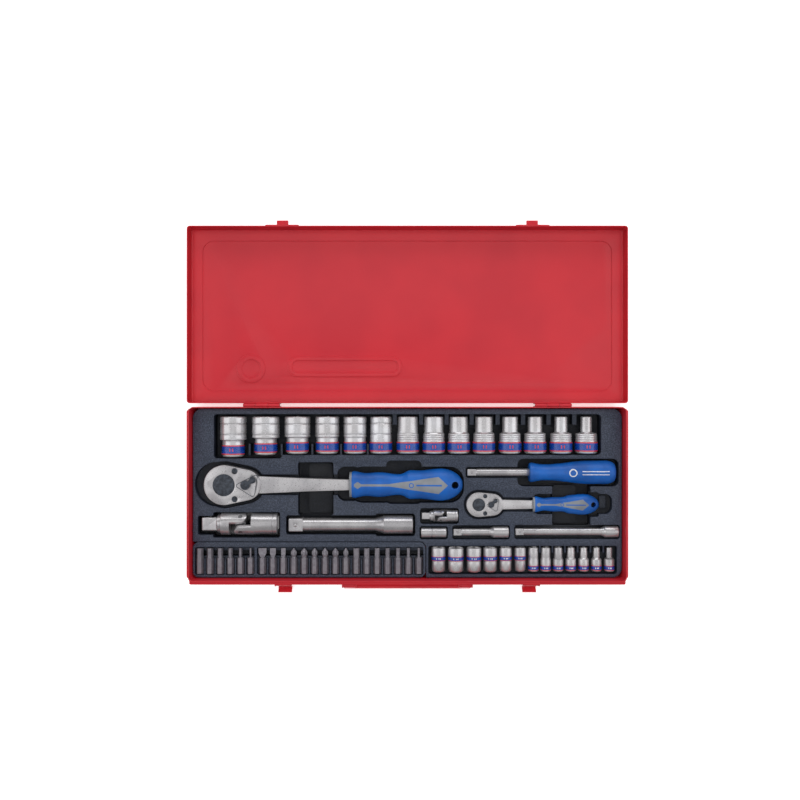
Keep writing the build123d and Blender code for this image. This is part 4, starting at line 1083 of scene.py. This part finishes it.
@dataclass
class QuarterSockets:
    """Thirteen satin sockets with a quarter inch square: six wide and seven slim."""

    wide: tuple[SmallSize, ...] = (
        SmallSize(13.0, 15.4, 47.1),
        SmallSize(12.0, 14.6, 64.7),
        SmallSize(11.0, 13.8, 30.3),
        SmallSize(10.0, 13.6, 80.5),
        SmallSize(9.0, 12.2, 95.6),
        SmallSize(8.0, 11.3, 109.8),
    )
    slim: tuple[SmallSize, ...] = (
        SmallSize(7.0, 9.7, 122.7),
        SmallSize(6.0, 9.2, 134.8),
        SmallSize(5.5, 8.3, 146.9),
        SmallSize(5.0, 7.7, 159.2),
        SmallSize(4.5, 7.2, 171.7),
        SmallSize(4.0, 6.8, 184.1),
        SmallSize(3.2, 6.3, 196.6),
    )
    mouth_y: float = -53.0
    floor_z: float = 14.3
    length: float = 23.4
    body_width: float = 10.4
    drive: float = 6.5

    def build(self, frame: Frame) -> None:
        """Turn both groups.

        Args:
            frame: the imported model.
        """
        self._group(frame, "sockets_quarter_wide", self.wide, self._wide_outline, BandPlace(8.0, 12.2, 0.45))
        self._group(frame, "sockets_quarter_slim", self.slim, self._slim_outline, BandPlace(17.4, 22.0, 0.6))

    def _group(
        self, frame: Frame, node: str, sizes: tuple[SmallSize, ...], draw: Drawer, band: BandPlace
    ) -> None:
        """Turn one group, which is one node.

        Args:
            frame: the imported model.
            node: the group's node.
            sizes: sizes and places.
            draw: draws a size's outline.
            band: place of the band on each.
        """
        bodies, bands, marks = [], [], []
        for size in sizes:
            girth = max(size.outer, self.body_width)
            socket = TurnedSocket(
                name=f"{node}_{size.hexagon:g}",
                hexagon=size.hexagon,
                drive=self.drive,
                outline=draw(size, band),
                band=band,
                band_radius=girth / 2,
                mouth=Vector((size.x, self.mouth_y, self.floor_z + girth / 2)) * MM,
                finish=Finish.SATIN,
                steps=40,
                round_mm=0.15,
            )
            bodies.append(socket.body())
            bands.append(socket.wrap())
            marks.append(socket.marks((-0.32, 0.02, 0.22), 0.8, 1.3, Finish.MARK))
        body = Bench.join(bodies, f"{node}_turned")
        body.data.materials.append(Finish.KNURL.material())
        if sizes is self.wide:
            for face in body.data.polygons:
                face.material_index = int(face.center.y < (self.mouth_y - band.end - 0.8) * MM)
        frame.hang(body, node, replaced=True)
        frame.hang(Bench.join(bands, f"{node}_bands"), node)
        frame.hang(Bench.join(marks, f"{node}_marks"), node)

    def _wide_outline(self, size: SmallSize, band: BandPlace) -> Outline:
        """Draw a wide socket: a straight body with a waist line and a ribbed lower part."""
        full = size.outer / 2 - 0.12
        low = size.outer / 2 - 0.35
        points = [(0.0, full - 0.5), (0.4, full - 0.1), (0.9, full), (band.start, full), (band.end, full)]
        points += [(band.end + 0.2, low - 0.3), (band.end + 0.7, low - 0.3), (band.end + 1.1, low)]
        points += [(self.length - 1.9, low), (self.length - 0.8, low - 0.5), (self.length - 0.2, low - 1.2)]
        return points + [(self.length, low - 1.7)]

    def _slim_outline(self, size: SmallSize, band: BandPlace) -> Outline:
        """Draw a slim socket: a thin nose that steps up to the driven end."""
        nose = size.outer / 2
        full = self.body_width / 2 - 0.12
        points = [(0.0, nose - 0.5), (0.4, nose - 0.1), (0.9, nose), (9.4, nose)]
        points += [(10.0, nose - 0.05), (11.4, full - 0.2), (12.0, full)]
        points += [(band.start, full), (band.end, full)]
        return points + [(band.end + 0.3, full), (self.length - 0.4, full - 0.5), (self.length, full - 0.9)]


@dataclass
class SmallTools:
    """Bars, joints, adapter, bits and spinner."""

    edge_mm: float = 0.3
    grip_y: float = 20.1
    above: float = 1.0
    ring_x: float = 159.4
    ring_radius: float = 3.9
    ring_hole: float = 2.8
    stripe_left: float = 168.0
    stripe_right: float = 194.0
    stripe_width: float = 0.8
    stripe_aside: float = 1.5

    def build(self, frame: Frame) -> None:
        """Dress the small tools, and print a plain ring and two stripes on the spinner's grip.

        Args:
            frame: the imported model.
        """
        bars = ["extension_half", "extension_quarter_short", "extension_quarter_long", "bit_adapter"]
        frame.finish_all([*bars, "spinner_shank"], Finish.SATIN_X, self.edge_mm)
        frame.dress(["bits_hexagon_key", "bits_shaped_tip"], Finish.BIT)
        grip = frame.soften("spinner_grip", Finish.BLUE, self.edge_mm)
        for size in ("half", "quarter"):
            yokes = [f"ujoint_{size}_drive_yoke", f"ujoint_{size}_socket_yoke"]
            frame.finish_all(yokes, Finish.SATIN_X, self.edge_mm)
            frame.dress([f"ujoint_{size}_cross"], Finish.PIN)
        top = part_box("spinner_grip")[1].z / MM + self.above
        outer, hole = self.ring_radius, self.ring_hole
        marks = [Bench.flat_ring("spinner_ring", self.ring_x, self.grip_y, outer, hole, top)]
        for place, aside in (("upper", self.stripe_aside), ("lower", -self.stripe_aside)):
            name, y = f"spinner_stripe_{place}", self.grip_y + aside
            marks.append(Bench.flat_bar(name, self.stripe_left, self.stripe_right, y, self.stripe_width, top))
        for mark in marks:
            Bench.print_on(mark, grip)
            Bench.dress(mark, Finish.MARK)
            frame.hang(mark, "spinner_grip")


@dataclass(frozen=True)
class GripPrint:
    """Plain ring and stripe on a grip's grey inlay, in millimetres."""

    ring_x: float
    ring_radius: float
    left: float
    right: float
    width: float
    hole_share: float = 0.66


@dataclass
class Ratchet:
    """One reversible ratchet: head, lever plate, grip with its collar and inlay."""

    size: str
    grip_x: float
    y: float
    z: float
    collar_radius: float
    collar_width: float
    plate: tuple[tuple[float, float], ...]
    plate_corner: float
    label: GripPrint
    flatness: float = 0.74
    edge_mm: float = 0.4

    def build(self, frame: Frame) -> None:
        """Dress the ratchet and add its small pieces.

        Args:
            frame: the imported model.
        """
        head = f"ratchet_{self.size}"
        frame.finish_all([f"{head}_body", f"{head}_cover"], Finish.SATIN, self.edge_mm)
        frame.finish_all([f"{head}_cover_screws", f"{head}_drive_gear"], Finish.BLACK, self.edge_mm / 2)
        frame.finish_all([f"{head}_reversing_lever"], Finish.BLACK, self.edge_mm / 2)
        frame.dress([f"{head}_pawl"], Finish.PIN)
        frame.dress([f"{head}_grip_inlay"], Finish.GREY)
        frame.finish_all([f"{head}_grip"], Finish.BLUE, self.edge_mm)
        self._collar(frame, head)
        self._lever_plate(frame, head)
        self._label(frame, head)

    def _collar(self, frame: Frame, head: str) -> None:
        """Put a grey ring at the grip's front end.

        Args:
            frame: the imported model.
            head: start of the ratchet's node names.
        """
        Bench.clear()
        place = Vector((self.grip_x - self.collar_width / 4, self.y, self.z)) * MM
        bpy.ops.mesh.primitive_cylinder_add(
            vertices=56, radius=self.collar_radius * MM, depth=self.collar_width * MM, location=place,
            rotation=(0, math.pi / 2, 0),
        )
        collar = bpy.context.object
        collar.name = f"{head}_collar"
        collar.scale = (self.flatness, 1.0, 1.0)
        Bench.settle(collar)
        Bench.round_edges(collar, 0.35, segments=3)
        Bench.smooth(collar)
        Bench.dress(collar, Finish.GREY)
        frame.hang(collar, f"{head}_grip")

    def _lever_plate(self, frame: Frame, head: str) -> None:
        """Lay a thin dark rim round the reversing lever, as its plate has.

        Args:
            frame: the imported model.
            head: start of the ratchet's node names.
        """
        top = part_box(f"{head}_cover")[1].z / MM
        plate = Bench.flat_plate(f"{head}_lever_plate", self.plate, top - 0.02, self.plate_corner)
        bpy.ops.object.mode_set(mode="EDIT")
        bpy.ops.mesh.select_all(action="SELECT")
        bpy.ops.mesh.inset(thickness=0.05 * self.collar_radius * MM)
        bpy.ops.mesh.delete(type="FACE")
        bpy.ops.object.mode_set(mode="OBJECT")
        Bench.dress(plate, Finish.BLACK)
        skin = plate.modifiers.new("skin", "SOLIDIFY")
        skin.thickness = 0.1 * MM
        skin.offset = 1.0
        bpy.ops.object.modifier_apply(modifier=skin.name)
        frame.hang(plate, f"{head}_cover")

    def _label(self, frame: Frame, head: str) -> None:
        """Print a plain ring and stripe on the inlay.

        Args:
            frame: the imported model.
            head: start of the ratchet's node names.
        """
        target = frame.nodes[f"{head}_grip_inlay"]
        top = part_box(f"{head}_grip_inlay")[1].z / MM + 1.0
        label = self.label
        hole = label.ring_radius * label.hole_share
        ring = Bench.flat_ring(f"{head}_inlay_ring", label.ring_x, self.y, label.ring_radius, hole, top)
        stripe = Bench.flat_bar(f"{head}_inlay_stripe", label.left, label.right, self.y, label.width, top)
        for mark in (ring, stripe):
            Bench.print_on(mark, target)
            Bench.dress(mark, Finish.BLUE)
            frame.hang(mark, f"{head}_grip_inlay")


HALF_RATCHET = Ratchet(
    size="half",
    grip_x=-54.1,
    y=8.2,
    z=22.2,
    collar_radius=12.3,
    collar_width=2.6,
    plate=((-167.2, 8.0), (-143.8, 19.6), (-147.4, -4.6)),
    plate_corner=4.2,
    label=GripPrint(3.8, 2.4, 8.6, 33.0, 1.5),
)
QUARTER_RATCHET = Ratchet(
    size="quarter",
    grip_x=123.2,
    y=-11.0,
    z=22.0,
    collar_radius=7.4,
    collar_width=2.0,
    plate=((75.4, -11.2), (88.8, -4.4), (86.8, -18.2)),
    plate_corner=2.6,
    label=GripPrint(149.6, 1.7, 153.4, 172.0, 1.0),
)


@dataclass
class Studio:
    """Pale floor, soft lights and the camera straight above."""

    lens: float = 39.0
    eye: tuple[float, float, float] = (-0.0071, 0.0903, 0.864)
    floor_size: float = 40.0

    def build(self) -> None:
        """Set up the studio."""
        self._floor()
        self._lights()
        self._camera()
        bpy.context.scene.view_settings.view_transform = "Standard"

    def _floor(self) -> None:
        """Lay the floor just under the case."""
        Bench.clear()
        bpy.ops.mesh.primitive_plane_add(size=self.floor_size, location=(0, 0, -0.0002))
        floor = bpy.context.object
        floor.name = "floor"
        sheet = ShaderSheet("pale_floor")
        clouds = sheet.noise(400.0, 2.0)
        sheet.tint(sheet.ramp(clouds, 0.3, 0.7, (0.92, 0.92, 0.92, 1), (0.95, 0.95, 0.95, 1)))
        sheet.put("Roughness", 0.9)
        sheet.put("Emission Color", (1.0, 1.0, 1.0, 1.0))
        sheet.put("Emission Strength", 0.55)
        floor.data.materials.append(sheet.material)
        floor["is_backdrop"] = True

    def _lights(self) -> None:
        """Hang soft boxes around and above, and fill the room with pale light.

        The boxes at the sides and one overhead are seen by glossy surfaces only, so that the plated
        tools shine without washing out the painted case.
        """
        world = bpy.data.worlds.new("room")
        bpy.context.scene.world = world
        world.use_nodes = True
        background = world.node_tree.nodes["Background"]
        background.inputs["Color"].default_value = (1.0, 1.0, 1.0, 1.0)
        background.inputs["Strength"].default_value = 0.34
        for side, x in (("left", -1.3), ("right", 1.3)):
            shine = self._soft_box(side, (x, 0.1, 0.75), (0.9, 1.8), 5.5)
            shine.visible_diffuse = False
        self._soft_box("back", (0.0, 1.5, 0.8), (2.2, 0.5), 9.0)
        sky = self._soft_box("sky", (0.0, 0.1, 2.2), (2.4, 2.4), 6.0)
        sky.visible_diffuse = False
        fill = self._soft_box("fill", (0.0, 0.1, 2.1), (1.6, 1.6), 22.0)
        fill.visible_glossy = False

    def _soft_box(
        self, name: str, place: tuple[float, float, float], size: tuple[float, float], power: float
    ) -> bpy.types.Object:
        """Add one area light that looks at the case.

        Args:
            name: the light's name.
            place: its position in metres.
            size: its width and height in metres.
            power: its power in watts.

        Returns:
            The light.
        """
        Bench.clear()
        bpy.ops.object.light_add(type="AREA", location=place)
        light = bpy.context.object
        light.name = f"soft_box_{name}"
        light.data.shape = "RECTANGLE"
        light.data.size, light.data.size_y = size
        light.data.energy = power
        light.rotation_euler = (Vector((0, 0.09, 0)) - Vector(place)).to_track_quat("-Z", "Y").to_euler()
        return light

    def _camera(self) -> None:
        """Put the camera over the case, looking straight down."""
        Bench.clear()
        bpy.ops.object.camera_add(location=self.eye, rotation=(0, 0, 0))
        camera = bpy.context.object
        camera.name = "camera"
        camera.data.lens = self.lens
        camera.data.sensor_width = 36.0
        bpy.context.scene.camera = camera


def main() -> None:
    logging.basicConfig(level=logging.INFO, format="%(message)s")
    frame = Frame()
    SteelCase().build(frame)
    Trays().build(frame)
    HalfSockets().build(frame)
    QuarterSockets().build(frame)
    SmallTools().build(frame)
    HALF_RATCHET.build(frame)
    QUARTER_RATCHET.build(frame)
    Studio().build()


if __name__ == "__main__":
    main()
